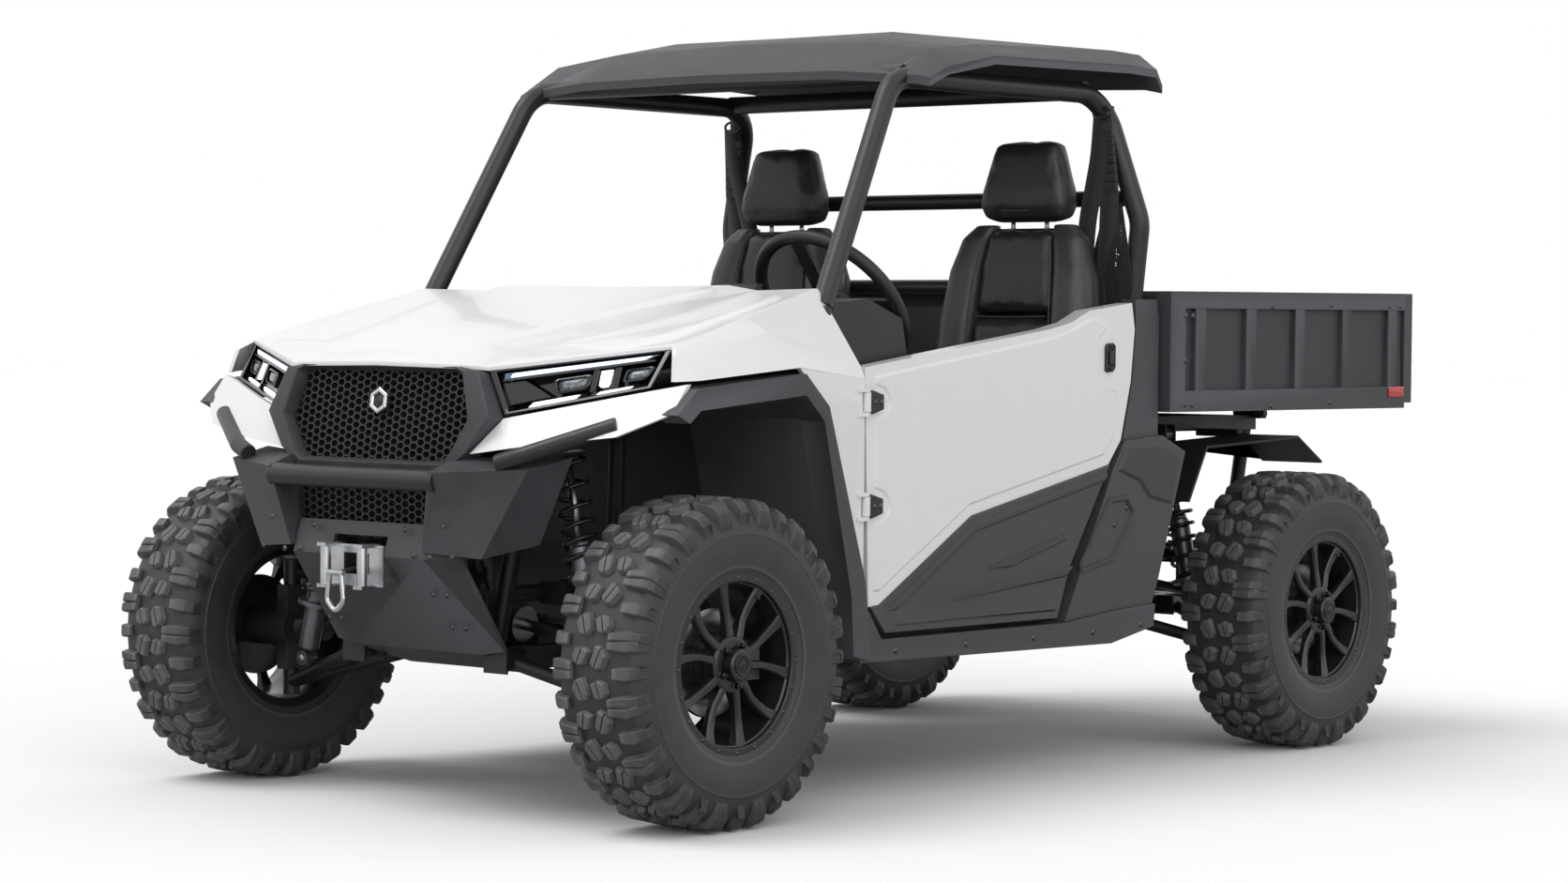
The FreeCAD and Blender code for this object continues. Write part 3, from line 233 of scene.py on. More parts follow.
def make_materials(colours):
    """Every finish of the vehicle by the record's slot name or a plain name."""
    white, charcoal, black = colours.body, colours.plastic, colours.black
    return {
        # gloss painted ABS: soft reflections over a faint orange peel
        "white_body": moulded("white_gloss_abs", white, 0.32, 3.0, 0.02, mottle=0.004, coat=0.25),
        # grained polypropylene, moulded in charcoal: wide dull highlights, paler edges
        "charcoal_plastic": moulded("charcoal_grained_pp", charcoal, 0.55, 0.9, 0.10,
                                    wear_and_highlight=shade(charcoal, 1.5)),
        # unpainted black ABS inside the cab and below the body
        "black_plastic": moulded("black_moulded_abs", black, 0.5, 0.8, 0.06, wear_and_highlight=shade(black, 1.5)),
        # rotomoulded polyethylene of the bed: coarse, dull, scuffed at its edges
        "bed_charcoal": moulded("charcoal_rotomoulded_pe", shade(charcoal, 0.92), 0.58, 1.2, 0.12,
                                wear_and_highlight=shade(charcoal, 1.4)),
        # powder-coated steel tube: satin with a fine orange peel
        "tube_black": moulded("black_powder_coat", shade(black, 1.1), 0.38, 0.7, 0.03,
                              wear_and_highlight=shade(black, 1.6)),
        # sprayed chassis paint on the frame and arms
        "frame_black": moulded("black_chassis_paint", shade(black, 0.85), 0.45, 1.0, 0.04,
                               wear_and_highlight=shade(black, 1.4)),
        # sand-cast aluminium of motor and gearboxes, pale where it is rubbed
        "cast_housing": moulded("cast_aluminium_dark", "#3a3b3d", 0.5, 1.4, 0.12, metallic=0.6,
                                wear_and_highlight="#77787a"),
        # bright turned steel of discs, damper shafts and headrest posts
        "shaft_steel": moulded("turned_steel", "#8e9092", 0.32, 0.6, 0.02, metallic=1.0),
        # glossy black enamel on the coil springs
        "spring_black": moulded("black_spring_enamel", "#17181a", 0.28, 1.2, 0.02, coat=0.3),
        # brushed aluminium of the badge and the tie hooks
        "bare_aluminium": moulded("satin_aluminium", "#c9cbcd", 0.28, 0.5, 0.02, metallic=1.0),
        # polished black plastic of the lamp housings
        "lamp_lens": moulded("black_lamp_housing", "#0d0e10", 0.12, 2.0, 0.01, coat=0.5),
        # grained leather of the seats' middles, worn pale along its edges
        "seat_leather": moulded("black_leather", "#2b2c2e", 0.42, 1.1, 0.12, wear_and_highlight="#4a4b4d"),
        # soft rubber of grips, mats and valves
        "grip_rubber": moulded("black_grip_rubber", "#202123", 0.5, 0.8, 0.05),
        # dry tread rubber; its lighter block edges are dust and a painted highlight
        "tyre_rubber": moulded("dry_tyre_rubber", "#363638", 0.5, 1.5, 0.08, wear_and_highlight="#828284"),
        # satin paint on the alloy rims
        "rim_black": moulded("satin_black_alloy", "#1d1e20", 0.3, 0.8, 0.015, coat=0.15, wear_and_highlight="#3c3d40"),
        # painted shade: matt near-black sheet behind the honeycombs that stands in for the shadow inside the
        # grille
        "deep_black": moulded("painted_shade_backing", "#0b0b0c", 0.9, 2.0, 0.1),
        # black nickel on bolts and nuts: a dark mirror with worn corners
        "black_nickel": moulded("black_nickel", "#3c3d40", 0.3, 0.6, 0.01, metallic=1.0, wear_and_highlight="#7a7c7e"),
        # cast and turned alloy of the dampers
        "damper_alloy": moulded("satin_damper_alloy", "#6d7073", 0.35, 0.7, 0.02, metallic=0.8,
                                wear_and_highlight="#9b9da0"),
        # smoother leather of the bolsters, a tone paler
        "seat_leather_side": moulded("charcoal_leather", "#3a3b3d", 0.4, 1.3, 0.14, wear_and_highlight="#57585a"),
        # polyester webbing, ribbed across
        "webbing": woven("polyester_webbing", "#1f2022", 2.0, 0.3),
        # punched plastic sheet of the side nets
        "perforated_sheet": perforated("perforated_black_sheet", "#1c1d1f", 7.0),
        # thick polyester thread of the seams
        "stitching": moulded("grey_thread", "#77797c", 0.6, 0.5, 0.05),
        # frosted light guides of the headlamps, lit
        "led_white": glowing("white_light_guide", "#f6f9ff", 1.25),
        # tinted clear plastic round the upper light guide
        "led_rim": moulded("blue_tinted_lens", "#5b7287", 0.08, 2.0, 0.01, coat=0.6),
        # projector lenses with their facets
        "projector": lens_cells("projector_glass", "#15171a", "#8d97a0", 6.0),
        # red acrylic of rear lamps and reflectors
        "red_lens": moulded("red_reflector", "#b3160f", 0.15, 3.0, 0.12, coat=0.6),
        # switched-off display glass
        "screen_glass": moulded("black_screen_glass", "#08090b", 0.05, 4.0, 0.0, coat=0.6),
    }


def dress(node, material, bevel_mm):
    """Give a CAD node its material and rounded edges."""
    piece = frame["nodes"][node]
    piece.data.materials.clear()
    piece.data.materials.append(material)
    weld = piece.modifiers.new("weld", "WELD")
    weld.merge_threshold = 0.01 * MM
    flat = piece.modifiers.new("flat", "DECIMATE")
    flat.decimate_type = "DISSOLVE"
    flat.angle_limit = math.radians(0.6)
    round_edges(piece, bevel_mm)


def round_edges(piece, width_mm, segments=2, angle=30):
    """Rounded edges with even shading."""
    bevel = piece.modifiers.new("bevel", "BEVEL")
    bevel.width = width_mm * MM
    bevel.segments = segments
    bevel.limit_method = "ANGLE"
    bevel.angle_limit = math.radians(angle)
    bevel.use_clamp_overlap = True
    shading = piece.modifiers.new("shading", "WEIGHTED_NORMAL")
    shading.keep_sharp = False
    shading.weight = 80


# Mesh making

def loft(bm, rings, closed=False):
    """Skin through rings that all have the same number of points, capped unless it closes on itself."""
    rows = [[bm.verts.new(point) for point in ring] for ring in rings]
    count = len(rows[0])
    pairs = list(zip(rows, rows[1:]))
    if closed:
        pairs.append((rows[-1], rows[0]))
    for row, following in pairs:
        for i in range(count):
            j = (i + 1) % count
            bm.faces.new((row[i], row[j], following[j], following[i]))
    if not closed:
        bm.faces.new(rows[0][::-1])
        bm.faces.new(rows[-1])


def turned(bm, profile, sides, place=Matrix(), closed=False):
    """Turned form about the place's Z axis from (radius, height) points."""
    loft(bm, [[place @ mm(reach * math.cos(a), reach * math.sin(a), height) for a in angles(sides)]
              for reach, height in ((max(radius, 0.05), height) for radius, height in profile)],
         closed=closed)


def prism(bm, outline, low, high, place=Matrix(), chamfer=0.0):
    """Outline of (x, y) points raised along the place's Z axis, with its top edge drawn in."""
    centre = [sum(values) / len(outline) for values in zip(*outline)]
    share = 1 - chamfer / max(math.dist(centre, point) for point in outline)
    levels = [(low, 1.0), (high, 1.0)]
    if chamfer:
        levels = [(low, 1.0), (high - chamfer, 1.0), (high, share)]
    loft(bm, [[place @ mm(x, y, height) for x, y in scaled(outline, centre, scale, scale)]
              for height, scale in levels])


def cuboid(bm, low, high):
    """Block between two corners in metres."""
    corners = ((low.x, low.y), (high.x, low.y), (high.x, high.y), (low.x, high.y))
    loft(bm, [[Vector((x, y, z)) for x, y in corners] for z in (low.z, high.z)])


def raised(bm, levels, place, closed=False):
    """Skin through outlines of (x, up) points, each at its depth along the place's Y axis."""
    loft(bm, [[place @ mm(x, depth, up) for x, up in outline] for outline, depth in levels],
         closed=closed)


def across_loft(bm, xs, outline, hand=1):
    """Outline of (behind, up) points drawn across between distances from the middle."""
    loft(bm, [[at(hand * x, *point) for point in outline] for x in xs])


def toward(point, direction):
    """Place at a point whose Z axis runs along a direction."""
    turn = Vector(direction).to_track_quat("Z", "Y").to_matrix().to_4x4()
    return Matrix.Translation(point) @ turn


def eased(points, steps):
    """Smooth line through points, with a number of steps between neighbours."""
    line = []
    for i, (start, end) in enumerate(zip(points, points[1:])):
        before, after = points[max(i - 1, 0)], points[min(i + 2, len(points) - 1)]
        for step in range(steps):
            t = step / steps
            line.append(0.5 * (2 * start + (end - before) * t
                               + (2 * before - 5 * start + 4 * end - after) * t * t
                               + (3 * start - before - 3 * end + after) * t ** 3))
    return line + [points[-1]]


def path(points, hand=1, steps=0):
    """Line on one side from (x, behind, up) points, smoothed where steps are given."""
    line = [at(hand * x, behind, up) for x, behind, up in points]
    return eased(line, steps) if steps else line


def tube(bm, points, radius, sides=10, closed=False):
    """Round tube along a line of points; radius is one value or one for each point."""
    radii = radius if isinstance(radius, list) else [radius] * len(points)
    last = len(points) - 1
    up = Vector((0.31, 0.2, 0.93))
    rings = []
    for i, point in enumerate(points):
        before = points[i - 1] if closed or i else point
        after = points[(i + 1) % len(points)] if closed or i < last else point
        along = (after - before).normalized()
        up = (up - along * up.dot(along)).normalized()
        side = along.cross(up)
        rings.append([point + (side * math.cos(a) + up * math.sin(a)) * radii[i] * MM
                      for a in angles(sides)])
    loft(bm, rings, closed=closed)


def strap(bm, points, across, width):
    """Webbing along a line of points, its width along one direction."""
    last = len(points) - 1
    rings = []
    for i, point in enumerate(points):
        along = (points[min(i + 1, last)] - points[max(i - 1, 0)]).normalized()
        flat = (Vector(across) - along * Vector(across).dot(along)).normalized() * width * MM / 2
        lift = along.cross(flat).normalized() * BELT_THICKNESS * MM / 2
        rings.append([point - flat - lift, point + flat - lift, point + flat + lift, point - flat + lift])
    loft(bm, rings)


def dome_bolt(bm, point, direction, radius, height):
    """Low round bolt head with a washer."""
    shares = ((1.35, 0), (1.35, 0.25), (1, 0.3), (1, 0.7), (0.7, 1), (0.35, 1), (0.3, 0.6), (0, 0.6))
    turned(bm, [(radius * r, height * h) for r, h in shares], 12, toward(point, direction))


def hex_nut(bm, point, direction, radius, height):
    """Six-sided nut with a seat and a stud end."""
    for sides, shares in ((16, ((1.2, 0), (1.2, 0.15), (1, 0.2), (0, 0.2))),
                          (6, ((1, 0.15), (1, 0.85), (0.8, 1), (0, 1))),
                          (10, ((0.45, 1), (0.45, 1.25), (0, 1.25)))):
        turned(bm, [(radius * r, height * h) for r, h in shares], sides, toward(point, direction))


def with_mirror(bm):
    """Add the other side of everything drawn so far."""
    copies = bmesh.ops.duplicate(bm, geom=bm.verts[:] + bm.edges[:] + bm.faces[:])["geom"]
    for item in copies:
        if isinstance(item, bmesh.types.BMVert):
            item.co.x = -item.co.x
    bmesh.ops.reverse_faces(bm, faces=[item for item in copies if isinstance(item, bmesh.types.BMFace)])


def drawn_mesh(name, bm):
    """Mesh from drawn geometry, its faces turned outward."""
    bmesh.ops.recalc_face_normals(bm, faces=bm.faces)
    mesh = bpy.data.meshes.new(name)
    bm.to_mesh(mesh)
    bm.free()
    return mesh


def smooth_faces(mesh):
    """Shade every face smoothly."""
    mesh.polygons.foreach_set("use_smooth", [True] * len(mesh.polygons))


def add_object(name, data):
    """Object in the scene's collection."""
    item = bpy.data.objects.new(name, data)
    bpy.context.collection.objects.link(item)
    return item


def new_piece(name, bm, finish, body="chassis", replaces=(), edge=0.0, smooth=True, mirror=False):
    """Object from drawn geometry, with its finish, body, rounded edges and the nodes it stands for."""
    if mirror:
        with_mirror(bm)
    mesh = drawn_mesh(name, bm)
    if smooth:
        smooth_faces(mesh)
    mesh.materials.append(FINISHES[finish])
    piece = add_object(name, mesh)
    if edge:
        round_edges(piece, edge)
    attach(piece, body)
    if replaces:
        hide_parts(*replaces)


# Wheels

LUG_PITCHES = 16
TREAD_RADIUS = 356
LUG_TOP = 355.6
LUG_EDGE = 2.6
SPLIT_OVER = 40                       # width from which a shoulder lug has a sipe
SIPE_HALF = 1.6
BLOCK_HALF = 19
AXLE_ALONG_X = Matrix.Rotation(math.radians(90), 4, "Y")
# (x, radius) from the bead round the sidewall to the tread's middle, and the bore between the beads
CARCASS = [(86, 178), (93, 181), (98, 188), (101, 189), (103, 197), (108, 207), (110, 206), (114, 222),
           (117.5, 243), (118.5, 262), (118, 276), (119, 278), (118.6, 282), (117, 284), (114, 302),
           (109, 318), (100, 331), (86, 338), (60, 341.5), (0, 343)]
BORE = [(-72, 180), (0, 182), (72, 180)]
# (radius, x) round the rim's barrel, the hub with its cap, and the brake disc with its bell
BARREL = [(196, 99), (195, 102), (179, 102), (177, 100), (176, 93), (172, 90), (171, 76), (166, 62),
          (163, 40), (163, -60), (170, -94), (192, -102), (196, -100), (196, -96), (180, -94),
          (177, -86), (170, -60), (170, 60), (177, 80), (177, 90), (192, 94)]
HUB = [(0.05, 60), (62, 60), (62, 86), (58, 91), (54, 92), (37, 92), (36, 86), (34, 86), (34, 112),
       (29, 115.6), (0, 115.6)]
DISC = [(27, 18), (118, 18), (118.4, 20), (118, 26.5), (66, 26.5), (62, 32), (60, 60), (27, 60)]
CAP_FACE = 115.6
# across, radius, half width, back and front of one spoke from hub to barrel
SPOKE = ((14, 50, 10, 62, 90), (17, 66, 9.5, 64, 90), (24, 96, 9, 68, 86), (33, 118, 9.5, 70, 86),
         (46, 144, 11, 70, 89), (57, 161, 14, 66, 93), (61, 168, 16, 62, 94))


def tyre_mesh():
    """Tyre about its own centre with the axle along X: carcass, shoulder blocks and centre blocks."""
    bm = bmesh.new()
    line = CARCASS + [(-x, r) for x, r in CARCASS[-2::-1]] + BORE
    turned(bm, [(r, x) for x, r in line], 128, AXLE_ALONG_X, closed=True)
    chance = random.Random(4)
    step = 2 * math.pi / LUG_PITCHES
    for side in (1, -1):
        for pitch in range(LUG_PITCHES):
            turn = (pitch + (0.5 if side > 0 else 0.0)) * step
            shoulder_block(bm, side, turn, 50, 46, 0, 296, chance)
            shoulder_block(bm, side, turn + step * 0.5, 66, 30, 3, 318, chance)
            lean = 0.42 + chance.uniform(-0.06, 0.06)
            centre_block(bm, side, turn + step * 0.28, lean, 25, 21)
            centre_block(bm, side, turn + step * 0.76, -lean * 0.8, 27, 17)
    return drawn_mesh("tyre", bm)


def on_tread(turn, x, around, radius):
    """Point on the tyre from millimetres across and around at a radius, at an angle about the axle."""
    angle = turn + around / TREAD_RADIUS
    return Vector((x * MM, radius * MM * math.sin(angle), -radius * MM * math.cos(angle)))


def shoulder_block(bm, side, turn, start, width, drop, reach, chance):
    """Shoulder lug that wraps from the tread down the sidewall; a wide one is split by a sipe."""
    top = LUG_TOP - drop
    skew = chance.uniform(-3, 3)
    outer = [(start, top), (start + 18, top), (97, top - 2), (108, top - 9), (117.5, top - 24),
             (119.6, (top + reach) / 2 - 12), (118.8, reach + 8), (116, reach)]
    inner = [(start + 4, 338), (start + 20, 338), (92, 334), (102, 326), (109, 318), (113, 303),
             (115, 292), (114, 284)]
    split = width > SPLIT_OVER
    halves = [(-width / 2, width / 2)]
    if split:
        halves = [(-width / 2, -SIPE_HALF), (SIPE_HALF, width / 2)]
    for low, high in halves:
        rings = []
        for i, ((x, r), (xi, ri)) in enumerate(zip(outer, inner)):
            share = i / (len(outer) - 1)
            taper = 1 - 0.25 * share if i > 2 else 0.78 + 0.11 * i
            shift = skew * (1 - share) - 5 * share
            a, b = low * taper + shift, high * taper + shift
            rings.append([on_tread(turn, side * px, around, radius) for px, around, radius in (
                (xi, a - 3, ri), (x, a, r - LUG_EDGE), (x - 0.3, a + LUG_EDGE, r),
                (x - 0.3, b - LUG_EDGE, r), (x, b, r - LUG_EDGE), (xi, b + 3, ri))])
        loft(bm, rings)
    if split:
        loft(bm, [[on_tread(turn, side * (x - back), around, r - down)
                   for back, around, down in ((6, -2.2, 14), (0, -2.2, 0), (0, 2.2, 0), (6, 2.2, 14))]
                  for x, r in ((start + 6, 350), (95, 349), (108, 343), (114, 332))])


def centre_block(bm, side, turn, lean, middle_x, half_length):
    """Slanted block beside the tread's middle, with a short sipe."""
    outline = [(-18, -half_length), (4, -half_length - 3), (19, -half_length + 8), (17, half_length - 5),
               (2, half_length + 3), (-16, half_length - 4)]
    for low, high, top in ((-1.0, -0.09, TREAD_RADIUS), (0.09, 1.0, TREAD_RADIUS),
                           (-1.0, 1.0, TREAD_RADIUS - 5)):
        rings = []
        for radius, scale in ((338, 1.12), (top - 2.4, 1.0), (top - 0.2, 0.88)):
            ring = []
            for x, around in outline:
                x = min(max(x / BLOCK_HALF, low), high) * BLOCK_HALF
                across = (x * math.cos(lean) - around * math.sin(lean)) * scale
                along = (x * math.sin(lean) + around * math.cos(lean)) * scale
                ring.append(on_tread(turn, side * (middle_x + across), along, radius))
            rings.append(ring)
        loft(bm, rings)


def rim_mesh():
    """Rim about its own centre with the axle along X: barrel, five pairs of bent spokes, hub and disc."""
    bm = bmesh.new()
    turned(bm, BARREL, 120, AXLE_ALONG_X, closed=True)
    for pair in range(5):
        turn = Matrix.Rotation(math.radians(72 * pair - 8), 4, "X")
        for hand in (-1, 1):
            loft(bm, [[turn @ mm(depth, hand * (across + shift), radius - shift * 0.32)
                       for shift, depth in ((-half, back), (-half, front - 5), (-half + 3.5, front),
                                            (half - 3.5, front), (half, front - 5), (half, back))]
                      for across, radius, half, back, front in SPOKE])
    turned(bm, HUB, 64, AXLE_ALONG_X)
    turned(bm, DISC, 72, AXLE_ALONG_X, closed=True)
    return drawn_mesh("rim", bm)


def on_wheels(mesh, finish, kind, look, *edges):
    """One mesh on all four wheels, in place of the plain nodes of its kind."""
    smooth_faces(mesh)
    mesh.materials.append(FINISHES[finish])
    for wheel in WHEELS:
        piece = add_object(f"{kind}_{wheel}_{look}", mesh)
        piece.location = middle(f"tyre_{wheel}")
        if wheel.endswith("right"):
            piece.rotation_euler.z = math.pi
        round_edges(piece, *edges)
        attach(piece, f"wheel_{wheel}")
        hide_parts(f"{kind}_{wheel}")


def make_tyres():
    """Knobbly tyres of all four wheels."""
    on_wheels(tyre_mesh(), "tyre_rubber", "tyre", "knobbly", 0.8, 1, 24)


def make_rims():
    """Spoked rims of all four wheels, with their hubs and brake discs."""
    on_wheels(rim_mesh(), "rim_black", "rim", "spoked", 1.6, 2, 32)


def make_wheel_fittings():
    """Lug nuts, rim bolts, plain cap badge, valve and brake disc faces of each wheel."""
    for wheel in WHEELS:
        centre = middle(f"tyre_{wheel}")
        body = f"wheel_{wheel}"
        hand = 1 if wheel.endswith("left") else -1
        out = Vector((hand, 0, 0))

        def spot(radius, angle, outward):
            return centre + mm(hand * outward, radius * math.sin(angle) * hand, radius * math.cos(angle))

        nuts = bmesh.new()
        for i in range(5):
            hex_nut(nuts, spot(45, math.radians(72 * i + 28), 91), out, 7.5, 13)
        new_piece(f"lug_nuts_{wheel}", nuts, "black_nickel", body, edge=0.6)
        bolts = bmesh.new()
        for angle in angles(20):
            dome_bolt(bolts, spot(187, angle, 101.5), out, 3.2, 3)
        new_piece(f"rim_bolts_{wheel}", bolts, "black_nickel", body)
        cap = bmesh.new()
        place = toward(spot(0, 0, CAP_FACE), out)
        turned(cap, [(24, 0), (24, 2), (21, 3), (19, 1.6), (0, 1.6)], 40, place)
        turned(cap, [(10, 1), (10, 2.6), (7.5, 3.2), (0, 3.2)], 6, place)
        new_piece(f"cap_badge_{wheel}", cap, "black_nickel", body, edge=0.4)
        valve = bmesh.new()
        tube(valve, [spot(166, 0.5, 70), spot(160, 0.5, 84), spot(156, 0.5, 97)], [4, 3, 2.4])
        new_piece(f"valve_{wheel}", valve, "grip_rubber", body)
        disc = bmesh.new()
        for outward in (19.4, 26.2):
            turned(disc, [(66, 0), (116.5, 0), (117, 0.3), (116.5, 0.6), (66, 0.6)], 72,
                   toward(spot(0, 0, outward), out), closed=True)
        new_piece(f"disc_faces_{wheel}", disc, "shaft_steel", body)


# Springs and dampers

COIL_TURNS = 8.5
COIL_STEPS = 221
COIL_RADIUS = 36
COIL_WIRE = 5.2
COIL_CLOSING = 0.035                  # share by which the end turns lie closer than the middle ones
COIL_FOOT_SHARE, COIL_HEAD_GAP = 0.26, 46
# x, behind and up of a damper's lower and upper eye
DAMPERS = {"front": ((470, -70, 295.5), (345, -60, 828)),
           "rear": ((470, WHEELBASE - 95, 295.5), (335, WHEELBASE - 60, 800))}


def make_springs():
    """Coil springs with their dampers, in place of the plain ones."""
    for name, eyes in DAMPERS.items():
        for hand, side in SIDES:
            bottom, top = path(eyes, hand)
            length = (top - bottom).length / MM
            start, end = COIL_FOOT_SHARE * length, length - COIL_HEAD_GAP
            place = toward(bottom, (top - bottom).normalized())
            line = []
            for i in range(COIL_STEPS + 1):
                share = i / COIL_STEPS
                risen = share + COIL_CLOSING * math.sin(2 * math.pi * share)
                angle = 2 * math.pi * COIL_TURNS * share
                line.append(place @ mm(COIL_RADIUS * math.cos(angle), COIL_RADIUS * math.sin(angle),
                                       start + (end - start) * risen))
            coil = bmesh.new()
            tube(coil, line, COIL_WIRE)
            new_piece(f"spring_{name}_{side}", coil, "spring_black", replaces=("shocks",))
            damper = bmesh.new()
            seat = start - 4
            turned(damper, [(15, 18), (24, 26), (25, seat - 14), (44, seat - 10), (45, seat),
                            (27, seat + 2), (26, length * 0.55), (22, length * 0.56), (21, length * 0.58),
                            (0, length * 0.58)], 32, place)
            turned(damper, [(28, end + 4), (45, end + 6), (45, end + 11), (24, end + 18),
                            (14, end + 32)], 32, place)
            shaft = bmesh.new()
            turned(shaft, [(9, length * 0.5), (9, length - 14)], 20, place)
            for eye in (bottom, top):
                turned(damper, [(17, -18), (17, 18), (9, 18.5), (9, -18.5)], 24,
                       toward(eye, (0, 1, 0)), closed=True)
                turned(shaft, [(0, -22), (8.5, -22), (8.5, 22), (0, 22)], 12, toward(eye, (0, 1, 0)))
            new_piece(f"damper_{name}_{side}", damper, "damper_alloy", replaces=("shocks",), edge=0.8)
            new_piece(f"damper_shaft_{name}_{side}", shaft, "shaft_steel", replaces=("shocks",))


# Headlamps and grille

LAMP_FACE = ((354, -255, 879), (655, -121, 942), (664, -64, 1024), (309, -256, 974))
# outlines in shares across and up the lamp's face, with their front and back depths
LIGHT_BARS = (([(0.10, 0.79), (0.12, 0.875), (0.90, 0.885), (0.86, 0.80)], 2, 8),
              ([(0.625, 0.30), (0.645, 0.24), (0.675, 0.24), (0.685, 0.30), (0.685, 0.66),
                (0.625, 0.66)], 4, 12),
              ([(0.16, 0.075), (0.20, 0.165), (0.50, 0.165), (0.47, 0.085)], 4, 12),
              ([(0.615, 0.085), (0.64, 0.145), (0.85, 0.15), (0.83, 0.09)], 4, 12))
BAR_RIMS = (([(0.055, 0.765), (0.07, 0.90), (0.935, 0.905), (0.875, 0.775)], 5.5, 14),)
LAMP_STEPS = (([(0.03, 0.20), (0.03, 0.70), (0.16, 0.70), (0.30, 0.24)], 14, 34),
              ([(0.565, 0.18), (0.575, 0.72), (0.61, 0.72), (0.60, 0.18)], 6, 34),
              ([(0.70, 0.18), (0.70, 0.72), (0.735, 0.72), (0.745, 0.18)], 8, 34),
              ([(0.05, 0.72), (0.05, 0.76), (0.93, 0.77), (0.93, 0.72)], 4, 34))
PROJECTORS = ((0.335, 0.555, 0.27, 0.63), (0.765, 0.925, 0.27, 0.62))


def lamp_spot(s, t, depth):
    """Point on the left lamp's face at shares across and up, moved back by a depth."""
    low_left, low_right, high_right, high_left = (at(*corner) for corner in LAMP_FACE)
    low = low_left.lerp(low_right, s)
    high = high_left.lerp(high_right, s)
    return low.lerp(high, t) + Vector((0, depth * MM, 0))


def lamp_loft(bm, levels, closed=False):
    """Skin through outlines on the lamp's face, each at its depth."""
    loft(bm, [[lamp_spot(s, t, depth) for s, t in outline] for outline, depth in levels], closed=closed)


def lamp_bars(name, finish, edge, bars):
    """Piece of bars inside both lamps."""
    bm = bmesh.new()
    for outline, front, back in bars:
        lamp_loft(bm, ((outline, front), (outline, back)))
    new_piece(name, bm, finish, edge=edge, mirror=True)


def make_lamps_in_body():
    """Housings, light bars and projectors of both headlamps."""
    shell = bmesh.new()
    outer = [(0.0, 0.0), (1.0, 0.0), (1.0, 1.0), (0.0, 1.0)]
    inner = [(0.03, 0.06), (0.965, 0.06), (0.965, 0.95), (0.03, 0.95)]
    lamp_loft(shell, ((outer, 70), (outer, 0), (inner, 2), (inner, 36)), closed=True)
    lamp_loft(shell, ((inner, 34), (inner, 40)))
    new_piece("lamp_housings", shell, "lamp_lens", replaces=("headlamps",), edge=1.5, mirror=True)
    lamp_bars("lamp_light_bars", "led_white", 0.8, LIGHT_BARS)
    lamp_bars("lamp_bar_rims", "led_rim", 1.2, BAR_RIMS)
    bezel = bmesh.new()
    lens = bmesh.new()
    for s0, s1, t0, t1 in PROJECTORS:
        outer = [(s0, t0 + 0.05), (s0 + 0.02, t0), (s1 - 0.03, t0), (s1, t0 + 0.10),
                 (s1 + 0.015, t1 - 0.05), (s1 - 0.01, t1), (s0 + 0.02, t1), (s0, t1 - 0.05)]
        centre = ((s0 + s1) / 2, (t0 + t1) / 2)
        inner = scaled(outer, centre, 0.82, 0.80)
        lamp_loft(bezel, ((outer, 24), (outer, 9), (inner, 7), (inner, 20)), closed=True)
        lamp_loft(lens, ((inner, 19), (inner, 14), (scaled(inner, centre, 0.45, 0.45), 9)))
    new_piece("lamp_bezels", bezel, "lamp_lens", edge=0.8, mirror=True)
    new_piece("lamp_projectors", lens, "projector", mirror=True)
    lamp_bars("lamp_steps", "lamp_lens", 1.0, LAMP_STEPS)


GRILLE_LEAN = math.atan2(32, 218)
GRILLE_FRONT, GRILLE_TOP = -0.290, 0.984      # metres from the front axle and from the ground
CELL_HALF_WIDTH, CELL_HALF_HEIGHT, CELL_HOLE = 14.0, 8.6, 0.80
HEXAGON = [(1, 0), (0.5, 1), (-0.5, 1), (-1, 0), (-0.5, -1), (0.5, -1)]


def honeycomb(bm, outline, front, back, place):
    """Sheet of wide six-sided cells cut to a convex outline of (x, up) points."""
    xs, ups = zip(*outline)
    columns = int((max(xs) - min(xs)) / (1.5 * CELL_HALF_WIDTH)) + 3
    rows = int((max(ups) - min(ups)) / (2 * CELL_HALF_HEIGHT)) + 3
    for column in range(columns):
        for row in range(rows):
            x = min(xs) + (column - 1) * 1.5 * CELL_HALF_WIDTH
            up = min(ups) + (row - 1 + 0.5 * (column % 2)) * 2 * CELL_HALF_HEIGHT
            rings = [[bm.verts.new(mm(x + a * CELL_HALF_WIDTH * scale, depth,
                                      up + b * CELL_HALF_HEIGHT * scale)) for a, b in HEXAGON]
                     for depth, scale in ((front, 1), (front, CELL_HOLE), (back, CELL_HOLE), (back, 1))]
            for one, two in zip(rings, rings[1:]):
                for i in range(6):
                    j = (i + 1) % 6
                    bm.faces.new((one[i], one[j], two[j], two[i]))
    centre = Vector((sum(xs) / len(xs), 0, sum(ups) / len(ups)))
    for (x, up), (x2, up2) in zip(outline, outline[1:] + outline[:1]):
        corner = Vector((x, 0, up))
        normal = Vector((up2 - up, 0, x - x2))
        if normal.dot(corner - centre) < 0:
            normal = -normal
        bmesh.ops.bisect_plane(bm, geom=bm.verts[:] + bm.edges[:] + bm.faces[:], plane_co=corner * MM,
                               plane_no=normal, clear_outer=True)
    bmesh.ops.remove_doubles(bm, verts=bm.verts[:], dist=0.01 * MM)
    bmesh.ops.transform(bm, matrix=place, verts=bm.verts[:])


def both_halves(*half):
    """Whole outline from the points of its +X half."""
    return list(half) + [(-x, up) for x, up in half[::-1]]


